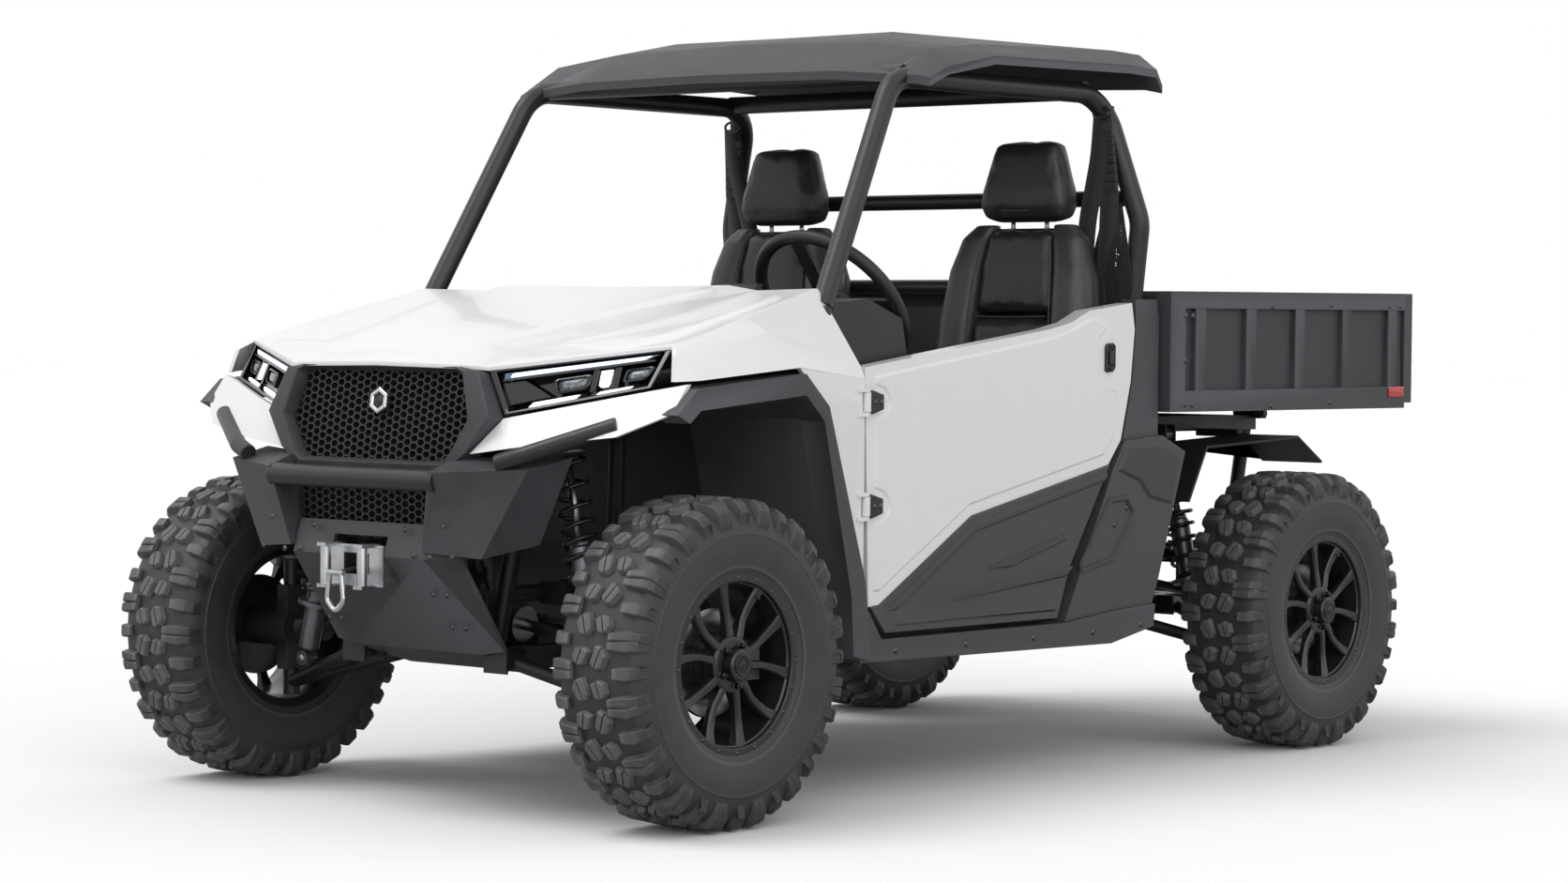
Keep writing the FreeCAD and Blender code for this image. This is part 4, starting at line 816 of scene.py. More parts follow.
def make_grille():
    """Surround, honeycomb and dark backing of the grille, and the lower honeycomb between the pods."""
    place = (Matrix.Translation((0, FRONT_WHEEL.y + GRILLE_FRONT, GRILLE_TOP))
             @ Matrix.Rotation(-GRILLE_LEAN, 4, "X") @ Matrix.Translation((0, 0, -GRILLE_TOP)))
    upright = Matrix.Translation((0, FRONT_WHEEL.y, 0))
    opening = both_halves((236, 976), (256, 966), (286, 866), (220, 774))
    outer = both_halves((244, 984), (304, 974), (350, 876), (294, 797), (232, 754))
    lip = both_halves((238, 980), (262, 970), (294, 868), (250, 790), (222, 768))
    throat = both_halves((232, 972), (252, 962), (282, 866), (240, 798), (216, 778))
    lower = both_halves((222, 716), (222, 604))
    surround = bmesh.new()
    raised(surround, ((outer, 56), (outer, 6), (lip, 0), (throat, 22), (throat, 56)), place, closed=True)
    new_piece("grille_ring", surround, "charcoal_plastic", replaces=("grille_surround",), edge=2.5)
    sheet = bmesh.new()
    honeycomb(sheet, opening, 24, 34, place)
    new_piece("grille_honeycomb", sheet, "black_plastic", replaces=("grille_mesh",), smooth=False)
    # near-black sheets behind both honeycombs: painted shade for the dark inside of the grille
    backing = bmesh.new()
    raised(backing, ((opening, 50), (opening, 54)), place)
    raised(backing, ((lower, -286), (lower, -282)), upright)
    new_piece("grille_shade_backing", backing, "deep_black", smooth=False)
    low_sheet = bmesh.new()
    honeycomb(low_sheet, lower, -316, -306, upright)
    new_piece("lower_honeycomb", low_sheet, "black_plastic", smooth=False)


def make_grille_badge():
    """Plain six-sided badge on the grille."""
    place = toward(at(0, -279, 903), (0, -1, 0.146)) @ Matrix.Rotation(math.radians(30), 4, "Z")

    def hexagon(radius):
        return [(radius * math.cos(a), radius * math.sin(a)) for a in angles(6)]

    badge = bmesh.new()
    loft(badge, [[place @ mm(x, y, height) for x, y in hexagon(radius)] for radius, height in
                 ((30, 0), (30, 12), (27, 14), (20.7, 14), (18, 11), (18, 0))], closed=True)
    new_piece("grille_badge", badge, "bare_aluminium", edge=0.6)
    plate = bmesh.new()
    prism(plate, hexagon(19.8), -12, 9.5, place)
    new_piece("grille_badge_plate", plate, "black_plastic")


# Bonnet

# (behind, from x, to x) of the middle panel and of the left shoulder panel
BONNET_MIDDLE = ((-276, -226, 226), (-262, -230, 230), (-190, -236, 236), (-60, -262, 262),
                 (60, -286, 286), (200, -318, 318), (330, -340, 340), (420, -352, 352), (434, -350, 350))
BONNET_SHOULDER = ((-110, 372, 540), (-96, 366, 560), (0, 392, 620), (120, 420, 622), (240, 446, 614),
                   (360, 470, 604), (374, 474, 600))


def surface_of(node):
    """Search tree over a CAD node's faces, in the scene's frame."""
    bm = bmesh.new()
    bm.from_mesh(frame["nodes"][node].data)
    bm.transform(frame["nodes"][node].matrix_world)
    tree = BVHTree.FromBMesh(bm)
    bm.free()
    return tree


def draped(bm, tree, stations, lift, slope=14, across=8):
    """Raised panel that follows a surface from above, its edges sunk 1 mm into it."""
    rows = []
    for i, (behind, low, high) in enumerate(stations):
        inside = [low + slope + (high - low - 2 * slope) * k / across for k in range(across + 1)]
        row = []
        for x in [low] + inside + [high]:
            hit = tree.ray_cast(at(x, behind, 1500), Vector((0, 0, -1)))[0]
            height = lift if x not in (low, high) and 0 < i < len(stations) - 1 else -1.0
            row.append(bm.verts.new(hit + Vector((0, 0, height * MM))))
        rows.append(row)
    for one, two in zip(rows, rows[1:]):
        for corners in zip(one, one[1:], two[1:], two):
            bm.faces.new(corners)


def make_bonnet_panels():
    """Raised middle and shoulder panels of the bonnet."""
    tree = surface_of("bonnet")
    panels = bmesh.new()
    draped(panels, tree, BONNET_MIDDLE, 8)
    draped(panels, tree, [(behind, -high, -low) for behind, low, high in BONNET_SHOULDER], 7)
    draped(panels, tree, BONNET_SHOULDER, 7)
    new_piece("bonnet_panels", panels, "white_body", edge=2.0)


# Seats

SEAT_X = 400
PAD_VOXEL_MM = 6
PAD_PRESSURE = 4.0
PAD_FRAMES = 20
# Each section is x, behind, up, half width, half depth and squareness of a ring. A cushion's rings
# stand across the seat, and the others lie level.
CUSHION = ((0, 1085, 772, 110, 44, 3), (0, 1098, 776, 138, 50, 4), (0, 1180, 776, 146, 50, 5),
           (0, 1320, 768, 146, 50, 5), (0, 1450, 764, 142, 50, 4), (0, 1470, 764, 120, 42, 3))
CUSHION_SIDE = ((190, 1092, 770, 34, 56, 3), (192, 1110, 776, 44, 66, 3.4), (194, 1220, 784, 45, 70, 3.4),
                (194, 1400, 786, 45, 70, 3.4), (190, 1480, 780, 36, 58, 3))
BACK_LOW = ((0, 1478, 816, 100, 26, 3), (0, 1482, 832, 128, 34, 4), (0, 1490, 960, 130, 36, 5),
            (0, 1502, 1090, 124, 36, 5), (0, 1505, 1106, 104, 28, 3))
BACK_HIGH = ((0, 1506, 1112, 104, 28, 3), (0, 1508, 1126, 124, 35, 4), (0, 1520, 1230, 116, 35, 5),
             (0, 1530, 1308, 104, 33, 4), (0, 1533, 1322, 84, 24, 3))
BACK_SIDE = ((186, 1474, 812, 34, 34, 3), (182, 1474, 834, 50, 50, 3), (180, 1486, 960, 52, 54, 3),
             (172, 1502, 1100, 50, 54, 3), (160, 1518, 1220, 46, 48, 3), (140, 1532, 1300, 42, 38, 3),
             (118, 1540, 1334, 30, 24, 2.6))
HEADREST = ((0, 1548, 1344, 96, 28, 4), (0, 1546, 1352, 120, 40, 5), (0, 1545, 1380, 131, 44, 6),
            (0, 1546, 1420, 127, 45, 6), (0, 1550, 1510, 101, 38, 6), (0, 1552, 1532, 94, 33, 5),
            (0, 1552, 1540, 80, 24, 4))
SHELL_BACK = ((0, 1550, 800, 226, 30, 5), (0, 1560, 1000, 214, 30, 5), (0, 1570, 1200, 196, 24, 4),
              (0, 1574, 1300, 160, 20, 3), (0, 1574, 1326, 130, 14, 3))
SHELL_FOOT = ((0, 1540, 678, 216, 30, 5), (0, 1545, 720, 224, 32, 5), (0, 1550, 800, 226, 30, 5))
SHELL_PAN = ((0, 1092, 700, 214, 26, 6), (0, 1110, 702, 226, 30, 6), (0, 1500, 702, 226, 30, 6))
# (x, behind, up) along the seams on both halves of a seat, and along those across its middle
SIDE_SEAMS = (((133, 1448, 850), (132, 1452, 960), (126, 1462, 1090), (116, 1480, 1220), (100, 1498, 1305)),
              ((222, 1446, 850), (222, 1452, 980), (210, 1466, 1100), (192, 1482, 1220), (166, 1502, 1300)),
              ((147, 1105, 829), (150, 1250, 826), (150, 1440, 820)),
              ((78, 1508, 1372), (82, 1504, 1420), (68, 1514, 1505)))
CROSS_SEAMS = (((-108, 1470, 1106), (0, 1467, 1104), (108, 1470, 1106)),
               ((-78, 1508, 1372), (0, 1503, 1368), (78, 1508, 1372)),
               ((-68, 1514, 1505), (0, 1512, 1508), (68, 1514, 1505)))


def soft_ring(x, behind, up, half_x, half_y, power, upright=False):
    """Ring of a pad, squarer as the power grows, lying level or standing across the seat."""
    ring = []
    for angle in angles(28):
        c, s = math.cos(angle), math.sin(angle)
        point = at(x + half_x * math.copysign(abs(c) ** (2 / power), c),
                   half_y * math.copysign(abs(s) ** (2 / power), s), 0)
        if upright:
            ring.append(Vector((point.x, at(0, behind, 0).y, up * MM + (point.y - FRONT_WHEEL.y))))
        else:
            ring.append(Vector((point.x, point.y + behind * MM, up * MM)))
    return ring


def pad(name, sections, finish, swell=5.0, upright=False):
    """Stuffed pad lofted through its sections and blown up as cloth."""
    bm = bmesh.new()
    loft(bm, [soft_ring(*section, upright=upright) for section in sections])
    piece = add_object(name, drawn_mesh(name, bm))
    remesh = piece.modifiers.new("even", "REMESH")
    remesh.mode = "VOXEL"
    remesh.voxel_size = PAD_VOXEL_MM * MM
    settle(piece)
    stuff(piece, swell)
    smooth = piece.modifiers.new("smooth", "SMOOTH")
    smooth.iterations = 4
    smooth.factor = 0.5
    settle(piece)
    smooth_faces(piece.data)
    piece.data.materials.append(FINISHES[finish])
    return piece


def settle(piece):
    """Make the modifiers' result the piece's own mesh."""
    bpy.context.view_layer.update()
    evaluated = piece.evaluated_get(bpy.context.evaluated_depsgraph_get())
    mesh = bpy.data.meshes.new_from_object(evaluated)
    piece.modifiers.clear()
    old = piece.data
    piece.data = mesh
    bpy.data.meshes.remove(old)


def stuff(piece, most_mm):
    """Blow a pad up with cloth pressure and keep each point near where it was."""
    scene = bpy.context.scene
    before = [vertex.co.copy() for vertex in piece.data.vertices]
    cloth = piece.modifiers.new("stuffing", "CLOTH")
    cloth.settings.use_pressure = True
    cloth.settings.uniform_pressure_force = PAD_PRESSURE
    cloth.settings.effector_weights.gravity = 0.0
    cloth.settings.quality = 4
    for frame_number in range(1, PAD_FRAMES + 1):
        scene.frame_set(frame_number)
    settle(piece)
    for vertex, start in zip(piece.data.vertices, before):
        move = vertex.co - start
        if move.length > most_mm * MM:
            vertex.co = start + move.normalized() * most_mm * MM
    scene.frame_set(1)


def seat_pads():
    """Pads of one seat about the middle plane: cushion, bolsters, back and headrest."""
    pads = [pad("cushion", CUSHION, "seat_leather", upright=True),
            pad("cushion_left", CUSHION_SIDE, "seat_leather_side", upright=True),
            pad("back_low", BACK_LOW, "seat_leather"),
            pad("back_high", BACK_HIGH, "seat_leather"),
            pad("back_left", BACK_SIDE, "seat_leather_side"),
            pad("headrest", HEADREST, "seat_leather", swell=3.0)]
    for name in ("cushion_left", "back_left"):
        mesh = bpy.data.objects[name].data.copy()
        for vertex in mesh.vertices:
            vertex.co.x = -vertex.co.x
        mesh.flip_normals()
        pads.append(add_object(name.replace("left", "right"), mesh))
    return pads


def make_seats():
    """Both seats: stuffed pads, their shells, seams and headrest posts."""
    pads = seat_pads()
    for hand, side in ((1, "driver"), (-1, "passenger")):
        shift = hand * SEAT_X * MM
        move = Matrix.Translation((shift, 0, 0))
        for source in pads:
            piece = add_object(f"seat_{side}_{source.name}", source.data.copy())
            piece.location.x = shift
            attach(piece, "chassis")
            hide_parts("seats")
        shell = bmesh.new()
        for sections, upright in ((SHELL_BACK, False), (SHELL_FOOT, False), (SHELL_PAN, True)):
            loft(shell, [[move @ point for point in soft_ring(*section, upright=upright)]
                         for section in sections])
        new_piece(f"seat_{side}_shell", shell, "black_plastic", replaces=("seats",))
        posts = bmesh.new()
        for x in (-52, 52):
            tube(posts, [move @ at(x, 1550, 1300), move @ at(x, 1552, 1360)], 6, 12)
        new_piece(f"seat_{side}_posts", posts, "shaft_steel", replaces=("seats",))
        make_seams(side, move)
    for source in pads:
        bpy.data.objects.remove(source)


def make_seams(side, move):
    """Raised seams and their stitches along the pads of a seat."""
    lines = [path(line, hand, 14) for hand in (-1, 1) for line in SIDE_SEAMS]
    lines += [path(line, steps=14) for line in CROSS_SEAMS]
    seams = bmesh.new()
    stitches = bmesh.new()
    lift = mm(0, -1.2, 0.6)
    for line in lines:
        points = [move @ point for point in line]
        tube(seams, points, 1.9, 8)
        for start, end in zip(points, points[1:]):
            tube(stitches, [start.lerp(end, 0.15) + lift, start.lerp(end, 0.6) + lift], 0.8, 6)
    new_piece(f"seat_{side}_seams", seams, "seat_leather")
    new_piece(f"seat_{side}_stitches", stitches, "stitching")


# Harness

BELT_THICKNESS = 1.6
NET_THICKNESS = 4
BELT_RING = (606, 1566, 1600)
# points, direction of the width and width of the shoulder belt, its second strap and the lap belt
BELTS = (((BELT_RING, (612, 1578, 1500), (616, 1586, 1420), (610, 1592, 1335), (600, 1596, 1200),
           (596, 1590, 1000)), (1, 0.25, 0), 48),
         ((BELT_RING, (596, 1568, 1500), (576, 1574, 1420), (556, 1580, 1340), (540, 1590, 1240)),
          (1, 0.25, 0), 46),
         (((205, 1395, 842), (260, 1330, 850), (400, 1290, 848), (540, 1330, 850), (600, 1400, 842)),
          (0, 1, 0.1), 46))
SIDE_NET = ((645, 1600, 1385), (672, 1615, 1180), (640, 1600, 1010), (505, 1592, 1010),
            (560, 1594, 1250), (598, 1596, 1385))


def make_harness():
    """Belts from the cage, their rings, adjusters and buckles, and the side nets behind the seats."""
    for hand, side in SIDES:
        ring_at = at(hand * BELT_RING[0], *BELT_RING[1:])
        belt = bmesh.new()
        for points, across, width in BELTS:
            strap(belt, path(points, hand, 8), across, width)
        new_piece(f"belt_{side}", belt, "webbing")
        folds = bmesh.new()
        for i in range(7):
            point = at(hand * (607 + i), 1571 + 2 * i, 1560 - 22 * i)
            cuboid(folds, point - mm(27, 4, 8), point + mm(27, 5, 8))
        new_piece(f"belt_adjuster_{side}", folds, "webbing", edge=2.0)
        net = bmesh.new()
        loft(net, [[corner + mm(0, step, 0) for corner in path(SIDE_NET, hand)]
                   for step in (-NET_THICKNESS / 2, NET_THICKNESS / 2)])
        new_piece(f"side_net_{side}", net, "perforated_sheet", edge=1.0, smooth=False)
        ring = bmesh.new()
        tube(ring, [ring_at + mm(math.cos(a) * 26, 0, math.sin(a) * 14 + 6) for a in angles(24)], 3.5,
             closed=True)
        cuboid(ring, ring_at + mm(-12, 4, -4), ring_at + mm(12, 34, 26))
        buckle = at(hand * 205, 1395, 846)
        cuboid(ring, buckle - mm(16, 22, 14), buckle + mm(16, 22, 26))
        new_piece(f"belt_fittings_{side}", ring, "black_plastic", edge=1.2)


# Doors

DOOR_SKIN = 703          # distance of the doors' and quarters' outside from the middle
# outlines of (behind, up) points on the side
DOOR_PANEL = [(566, 478), (590, 476), (922, 662), (1452, 768), (1492, 814), (1514, 886), (1500, 930),
              (1436, 950), (1428, 1052), (1462, 1078), (1420, 1106), (1384, 1104), (1300, 1074),
              (1215, 1056), (680, 984), (566, 968), (566, 944), (600, 934), (618, 918), (618, 896),
              (600, 880), (566, 870), (566, 710), (600, 700), (618, 684), (618, 662), (600, 646), (566, 636)]
LOWER_RIBS = ([(989, 516), (1282, 590), (1300, 570), (1079, 513)],
              [(848, 446), (918, 471), (1322, 507), (1295, 481)],
              [(612, 436), (930, 622), (1462, 727), (1450, 706), (938, 600), (650, 434)],
              [(640, 400), (1250, 400), (1256, 412), (660, 412)])
QUARTER_POCKET = [(1476, 668), (1551, 673), (1587, 632), (1568, 594), (1499, 512), (1361, 483), (1358, 512)]
QUARTER_PANEL = [(1506, 730), (1546, 792), (1690, 800), (1776, 764), (1740, 640), (1640, 660), (1600, 700)]
QUARTER_BOLTS = ((1550, 640), (1500, 600), (1740, 752), (1560, 770))
SILL_BOLTS = ((640, 344), (900, 344), (1160, 344), (1400, 344), (1600, 352))
HINGES_UP = (673, 907)
LATCH = (1469, 1008)
LATCH_BEZEL = [(1450, 976), (1457, 971), (1480, 973), (1488, 981), (1488, 1036), (1481, 1043),
               (1457, 1041), (1450, 1034)]


def drawn_in(outline, amount):
    """Outline of (behind, up) points moved inward by an amount."""
    area = sum(a[0] * b[1] - b[0] * a[1] for a, b in zip(outline, outline[1:] + outline[:1]))
    hand = 1 if area > 0 else -1
    moved = []
    for i, point in enumerate(outline):
        normals = []
        for start, end in ((outline[i - 1], point), (point, outline[(i + 1) % len(outline)])):
            run, rise = end[0] - start[0], end[1] - start[1]
            length = math.hypot(run, rise)
            normals.append((-rise / length * hand, run / length * hand))
        together = 1 + normals[0][0] * normals[1][0] + normals[0][1] * normals[1][1]
        share = amount / max(together, 0.5)
        moved.append(tuple(point[k] + (normals[0][k] + normals[1][k]) * share for k in (0, 1)))
    return moved


def side_loft(bm, hand, levels, closed=False):
    """Skin through outlines on a side, each at its distance from the middle."""
    loft(bm, [[at(hand * x, *point) for point in outline] for x, outline in levels], closed=closed)


def side_boss(bm, hand, outline, low, high, slope):
    """Raised panel with sloped edges on a side, between two distances from the middle."""
    side_loft(bm, hand, ((low, outline), (high - 1, drawn_in(outline, slope)),
                         (high, drawn_in(outline, slope + 1.5))))


def side_rim(bm, hand, outline, low, high, width):
    """Raised rim round a pocket on a side."""
    side_loft(bm, hand, [(x, drawn_in(outline, inset)) for x, inset in
                         ((low, 0), (high, 4), (high, width), (low, width + 5))], closed=True)


def make_door_panels():
    """Raised faces of the doors and of the quarters behind them, with the bolts of quarters and sills."""
    for hand, side in SIDES:
        out = (hand, 0, 0)
        face = bmesh.new()
        side_boss(face, hand, DOOR_PANEL, DOOR_SKIN, DOOR_SKIN + 6.5, 7)
        new_piece(f"door_face_{side}", face, "white_body", f"door_{side}", edge=1.5, smooth=False)
        ribs = bmesh.new()
        for outline in LOWER_RIBS:
            side_boss(ribs, hand, outline, DOOR_SKIN + 6, DOOR_SKIN + 13, 5)
        new_piece(f"door_ribs_{side}", ribs, "charcoal_plastic", f"door_{side}", edge=1.2, smooth=False)
        pocket = bmesh.new()
        side_rim(pocket, hand, QUARTER_POCKET, DOOR_SKIN, DOOR_SKIN + 9, 12)
        side_boss(pocket, hand, QUARTER_PANEL, DOOR_SKIN, DOOR_SKIN + 8, 8)
        new_piece(f"quarter_rims_{side}", pocket, "charcoal_plastic", edge=1.2, smooth=False)
        bolts = bmesh.new()
        for x, points in ((704.5, QUARTER_BOLTS), (716.6, SILL_BOLTS)):
            for behind, up in points:
                dome_bolt(bolts, at(hand * x, behind, up), out, 6, 4)
        new_piece(f"side_bolts_{side}", bolts, "black_nickel")


def make_door_fittings():
    """Hinge covers with bolts and the latch handle of each door."""
    for hand, side in SIDES:
        out = (hand, 0, 0)
        covers = bmesh.new()
        bolts = bmesh.new()
        for up in HINGES_UP:
            outline = [(524, up - 21), (552, up - 27), (590, up - 17), (590, up + 17), (552, up + 27),
                       (524, up + 21)]
            side_loft(covers, hand, ((DOOR_SKIN, outline), (716, outline),
                                     (720, scaled(outline, (548, up), 0.88, 0.86))))
            for behind in (556, 577):
                dome_bolt(bolts, at(hand * 719.6, behind, up), out, 5, 3.5)
        new_piece(f"hinge_covers_{side}", covers, "black_plastic", f"door_{side}", edge=2.2)
        new_piece(f"hinge_bolts_{side}", bolts, "black_nickel", f"door_{side}")
        latch = bmesh.new()
        side_loft(latch, hand, ((698, LATCH_BEZEL), (710, LATCH_BEZEL),
                                (713.5, scaled(LATCH_BEZEL, LATCH, 0.84, 0.9)),
                                (707, scaled(LATCH_BEZEL, LATCH, 0.62, 0.74))))
        across_loft(latch, (700, 715), [(LATCH[0] + a, LATCH[1] + b) for a, b in
                                        ((-9, -16), (9, -16), (9, 16), (-9, 16))], hand)
        for up in (981, 1035):
            dome_bolt(latch, at(hand * 713, LATCH[0], up), out, 4, 2.5)
        new_piece(f"latch_{side}", latch, "black_plastic", f"door_{side}", edge=1.4)


# Bed

BED_FRONT = WHEELBASE - 550
BED_REAR = WHEELBASE + 520
BED_FLOOR_TOP = 909.5
REAR_LAMP = ((560, 1052), (680, 1106))          # (x, up) of two corners
# (behind the bed's front, up) and (before its rear, up)
BED_FRONT_BOLTS = ((30, 890), (62, 890), (30, 1000), (30, 1112), (62, 1112), (420, 1140), (420, 884),
                   (700, 1146), (700, 890))
BED_REAR_BOLTS = ((-80, 925), (-26, 925), (-80, 1145), (-26, 1145))


def make_bed_fittings():
    """Bolts, reflectors, rear lamps, floor ribs and tie hooks of the bed."""
    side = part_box("bed")[1].x / MM
    tail = Vector((0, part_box("tailgate")[1].y, 0))
    bolts = bmesh.new()
    for edge, points in ((BED_FRONT, BED_FRONT_BOLTS), (BED_REAR, BED_REAR_BOLTS)):
        for behind, up in points:
            dome_bolt(bolts, at(side - 0.6, edge + behind, up), (1, 0, 0), 5.5, 4)
    new_piece("bed_bolts", bolts, "black_nickel", "bed", mirror=True)
    red = bmesh.new()
    cuboid(red, at(side - 4, BED_REAR - 84, 902), at(side + 4, BED_REAR - 8, 930))
    new_piece("bed_side_reflectors", red, "red_lens", "bed", edge=2.0, mirror=True)
    lamps = bmesh.new()
    (low_x, low_up), (high_x, high_up) = REAR_LAMP
    cuboid(lamps, tail + mm(low_x, -12, low_up), tail + mm(high_x, 2, high_up))
    new_piece("rear_lamps", lamps, "red_lens", "tailgate", edge=3.0, mirror=True)
    ribs = bmesh.new()
    for x in range(-602, 603, 86):
        loft(ribs, [[at(x + a, behind, BED_FLOOR_TOP + b)
                     for a, b in ((-20, 0), (20, 0), (14, 4.5), (-14, 4.5))]
                    for behind in (BED_FRONT + 70, BED_REAR - 30)])
    new_piece("bed_floor_ribs", ribs, "bed_charcoal", "bed", edge=1.0)
    hooks = bmesh.new()
    for behind in (BED_FRONT + 140, BED_REAR - 140):
        tube(hooks, path(((532, behind, 912), (534, behind, 938), (560, behind, 948), (586, behind, 938),
                          (588, behind, 912)), steps=6), 4)
    new_piece("bed_tie_hooks", hooks, "bare_aluminium", "bed", mirror=True)


# Front end

# (x, behind, up) on the pods' faces, on their slopes and beside the lower honeycomb
POD_BOLTS = ((145, -346, 628), (182, -357, 574), (230, -355, 572))
SLOPE_BOLTS = ((178, -293, 487), (220, -293, 487), (176, -233, 412), (216, -231, 412))
SMALL_BOLTS = ((272, -356, 640), (300, -356, 575))


def make_front_fittings():
    """Bolts of the skid panel and of the bumper pods."""
    bolts = bmesh.new()
    for points, direction, radius, height in ((POD_BOLTS, (0, -1, 0.05), 5, 4),
                                              (SLOPE_BOLTS, (0, -1, -0.35), 5, 4),
                                              (SMALL_BOLTS, (0, -1, 0), 4, 3)):
        for point in points:
            dome_bolt(bolts, at(*point), direction, radius, height)
    new_piece("front_bolts", bolts, "black_nickel", mirror=True)


# Cab

VENTS_X = (-540, -120, 40, 590)
GRAB_HANDLE = ((-520, 745, 1072), (-520, 790, 1084), (-470, 812, 1090), (-330, 812, 1090),
               (-280, 790, 1084), (-280, 745, 1072))
PEDALS = ((300, 34), (400, 24))       # x and half width
PEDAL_HALF_HEIGHT = 45
WHEEL_PAD_LEAN = math.radians(38)


def make_dash_fittings():
    """Screen with its hood, vents and grab handle of the dash."""
    screen = bmesh.new()
    cuboid(screen, at(106, 712, 1112), at(234, 717, 1168))
    new_piece("screen", screen, "screen_glass", edge=1.0)
    hood = bmesh.new()
    across_loft(hood, (96, 244), ((640, 1128), (700, 1176), (714, 1176), (714, 1104), (690, 1100)))
    new_piece("screen_hood", hood, "black_plastic", edge=3.0)
    vents = bmesh.new()
    for x in VENTS_X:
        turned(vents, [(34, 0), (34, 6), (30, 8), (27, 3), (0, 3)], 32,
               toward(at(x, 758, 1040), (0, 1, 0.22)))
        for up in (1026, 1035, 1044, 1053):
            across_loft(vents, (x - 24, x + 24), ((760, up), (765, up + 2), (765, up + 4), (760, up + 2)))
    new_piece("dash_vents", vents, "black_plastic", edge=0.8)
    grab = bmesh.new()
    tube(grab, path(GRAB_HANDLE, steps=8), 14, 16)
    new_piece("grab_handle", grab, "grip_rubber")


def make_cab_fittings():
    """Dash fittings, pedals, floor mats, drive selector and the steering wheel's pad."""
    make_dash_fittings()
    pedals = bmesh.new()
    for x, width in PEDALS:
        place = toward(at(x, 600, 470), (0, 0.8, 0.6))

        def plate(half, low, high):
            return [(-half, low), (half, low), (half, high), (-half, high)]

        prism(pedals, plate(width, -PEDAL_HALF_HEIGHT, PEDAL_HALF_HEIGHT), -4, 4, place, chamfer=2)
        for up in range(-32, 33, 16):
            prism(pedals, plate(width * 0.85, up, up + 6), 3, 7, place)
        tube(pedals, path(((x, 596, 480), (x, 545, 560), (x, 500, 640))), 8)
    new_piece("pedals", pedals, "black_plastic", edge=0.8)
    mats = bmesh.new()
    for hand in (-1, 1):
        for behind in range(610, 985, 34):
            across_loft(mats, (90, 600), [(behind + a, 375 + b) for a, b in
                                          ((0, -0.5), (16, -0.5), (13, 4), (3, 4))], hand)
    new_piece("floor_mats", mats, "grip_rubber", edge=0.8)
    lever = bmesh.new()
    tube(lever, path(((70, 730, 1010), (74, 790, 1035), (76, 830, 1070)), steps=6), 8, 12)
    turned(lever, [(8, 0), (20, 8), (22, 24), (14, 38), (0, 42)], 24,
           toward(at(76, 826, 1062), (0, 0.5, 0.86)))
    new_piece("drive_selector", lever, "grip_rubber")
    wheel_pad = bmesh.new()
    turned(wheel_pad, [(50, -10), (54, 0), (50, 9), (34, 14), (0, 15)], 40,
           toward(at(385, 800, 1130), (0, math.cos(WHEEL_PAD_LEAN), math.sin(WHEEL_PAD_LEAN))))
    new_piece("wheel_pad", wheel_pad, "grip_rubber", "steering_wheel", edge=1.0)


# Stage

FLOOR_REACH = 60.0                    # metres
SEEN_FLOOR, UNSEEN_FLOOR = "#ffffff", "#b8b8b8"
SURROUND_LIGHT, SURROUND_SEEN = 0.62, 1.0
# name, strength, angular size in degrees and direction
SUNS = (("key", 1.12, 35, (0.35, 0.45, -1.0)), ("side", 0.85, 60, (-1.0, 0.6, -0.45)))
# The camera's turn, dip and roll in degrees, its lens in millimetres, and its place in metres
# across, behind the front axle and up, as solved from the photograph
CAMERA_ANGLES = (40.5656, 1.691, 0.523)
CAMERA_LENS = 86.307
CAMERA_PLACE = (6.04680, -5.98247, 1.06709)


def make_floor():
    """Pale floor that stays white in the picture apart from the vehicle's shadow."""
    mesh = bpy.data.meshes.new("floor")
    corners = [(x * FLOOR_REACH, y * FLOOR_REACH, 0) for x, y in ((-1, -1), (1, -1), (1, 1), (-1, 1))]
    mesh.from_pydata(corners, [], [(0, 1, 2, 3)])
    floor = add_object("floor", mesh)
    # diffuse white for the camera, and grey for the light that it throws back up
    material = bpy.data.materials.new("studio_floor")
    tree = empty_tree(material)
    seen, unseen = [add(tree, "BsdfDiffuse", {"Color": linear(colour)})
                    for colour in (SEEN_FLOOR, UNSEEN_FLOOR)]
    rays = add(tree, "LightPath")
    mix = add(tree, "MixShader", {0: rays.outputs["Is Camera Ray"], 1: unseen.outputs[0], 2: seen.outputs[0]})
    add(tree, "OutputMaterial", {"Surface": mix.outputs[0]})
    floor.data.materials.append(material)


def make_world(scene):
    """White surround for the camera, gloss and glass, and a softer one for light."""
    world = bpy.data.worlds.new("studio")
    scene.world = world
    tree = empty_tree(world)
    rays = add(tree, "LightPath")
    straight = add(tree, "Math", {0: rays.outputs["Is Camera Ray"], 1: rays.outputs["Is Transmission Ray"]},
                   operation="MAXIMUM")
    seen = add(tree, "Math", {0: straight.outputs[0], 1: rays.outputs["Is Glossy Ray"]}, operation="MAXIMUM")
    light, white = [add(tree, "Background", {"Color": linear("#ffffff"), "Strength": strength})
                    for strength in (SURROUND_LIGHT, SURROUND_SEEN)]
    mix = add(tree, "MixShader", {0: seen.outputs[0], 1: light.outputs[0], 2: white.outputs[0]})
    add(tree, "OutputWorld", {"Surface": mix.outputs[0]})


def make_lamps():
    """Broad overhead light from the camera's left, and a weaker one from its right."""
    for name, strength, angle, direction in SUNS:
        lamp = bpy.data.lights.new(name, "SUN")
        lamp.energy = strength
        lamp.angle = math.radians(angle)
        holder = add_object(name, lamp)
        holder.rotation_mode = "QUATERNION"
        holder.rotation_quaternion = Vector(direction).to_track_quat("-Z", "Y")


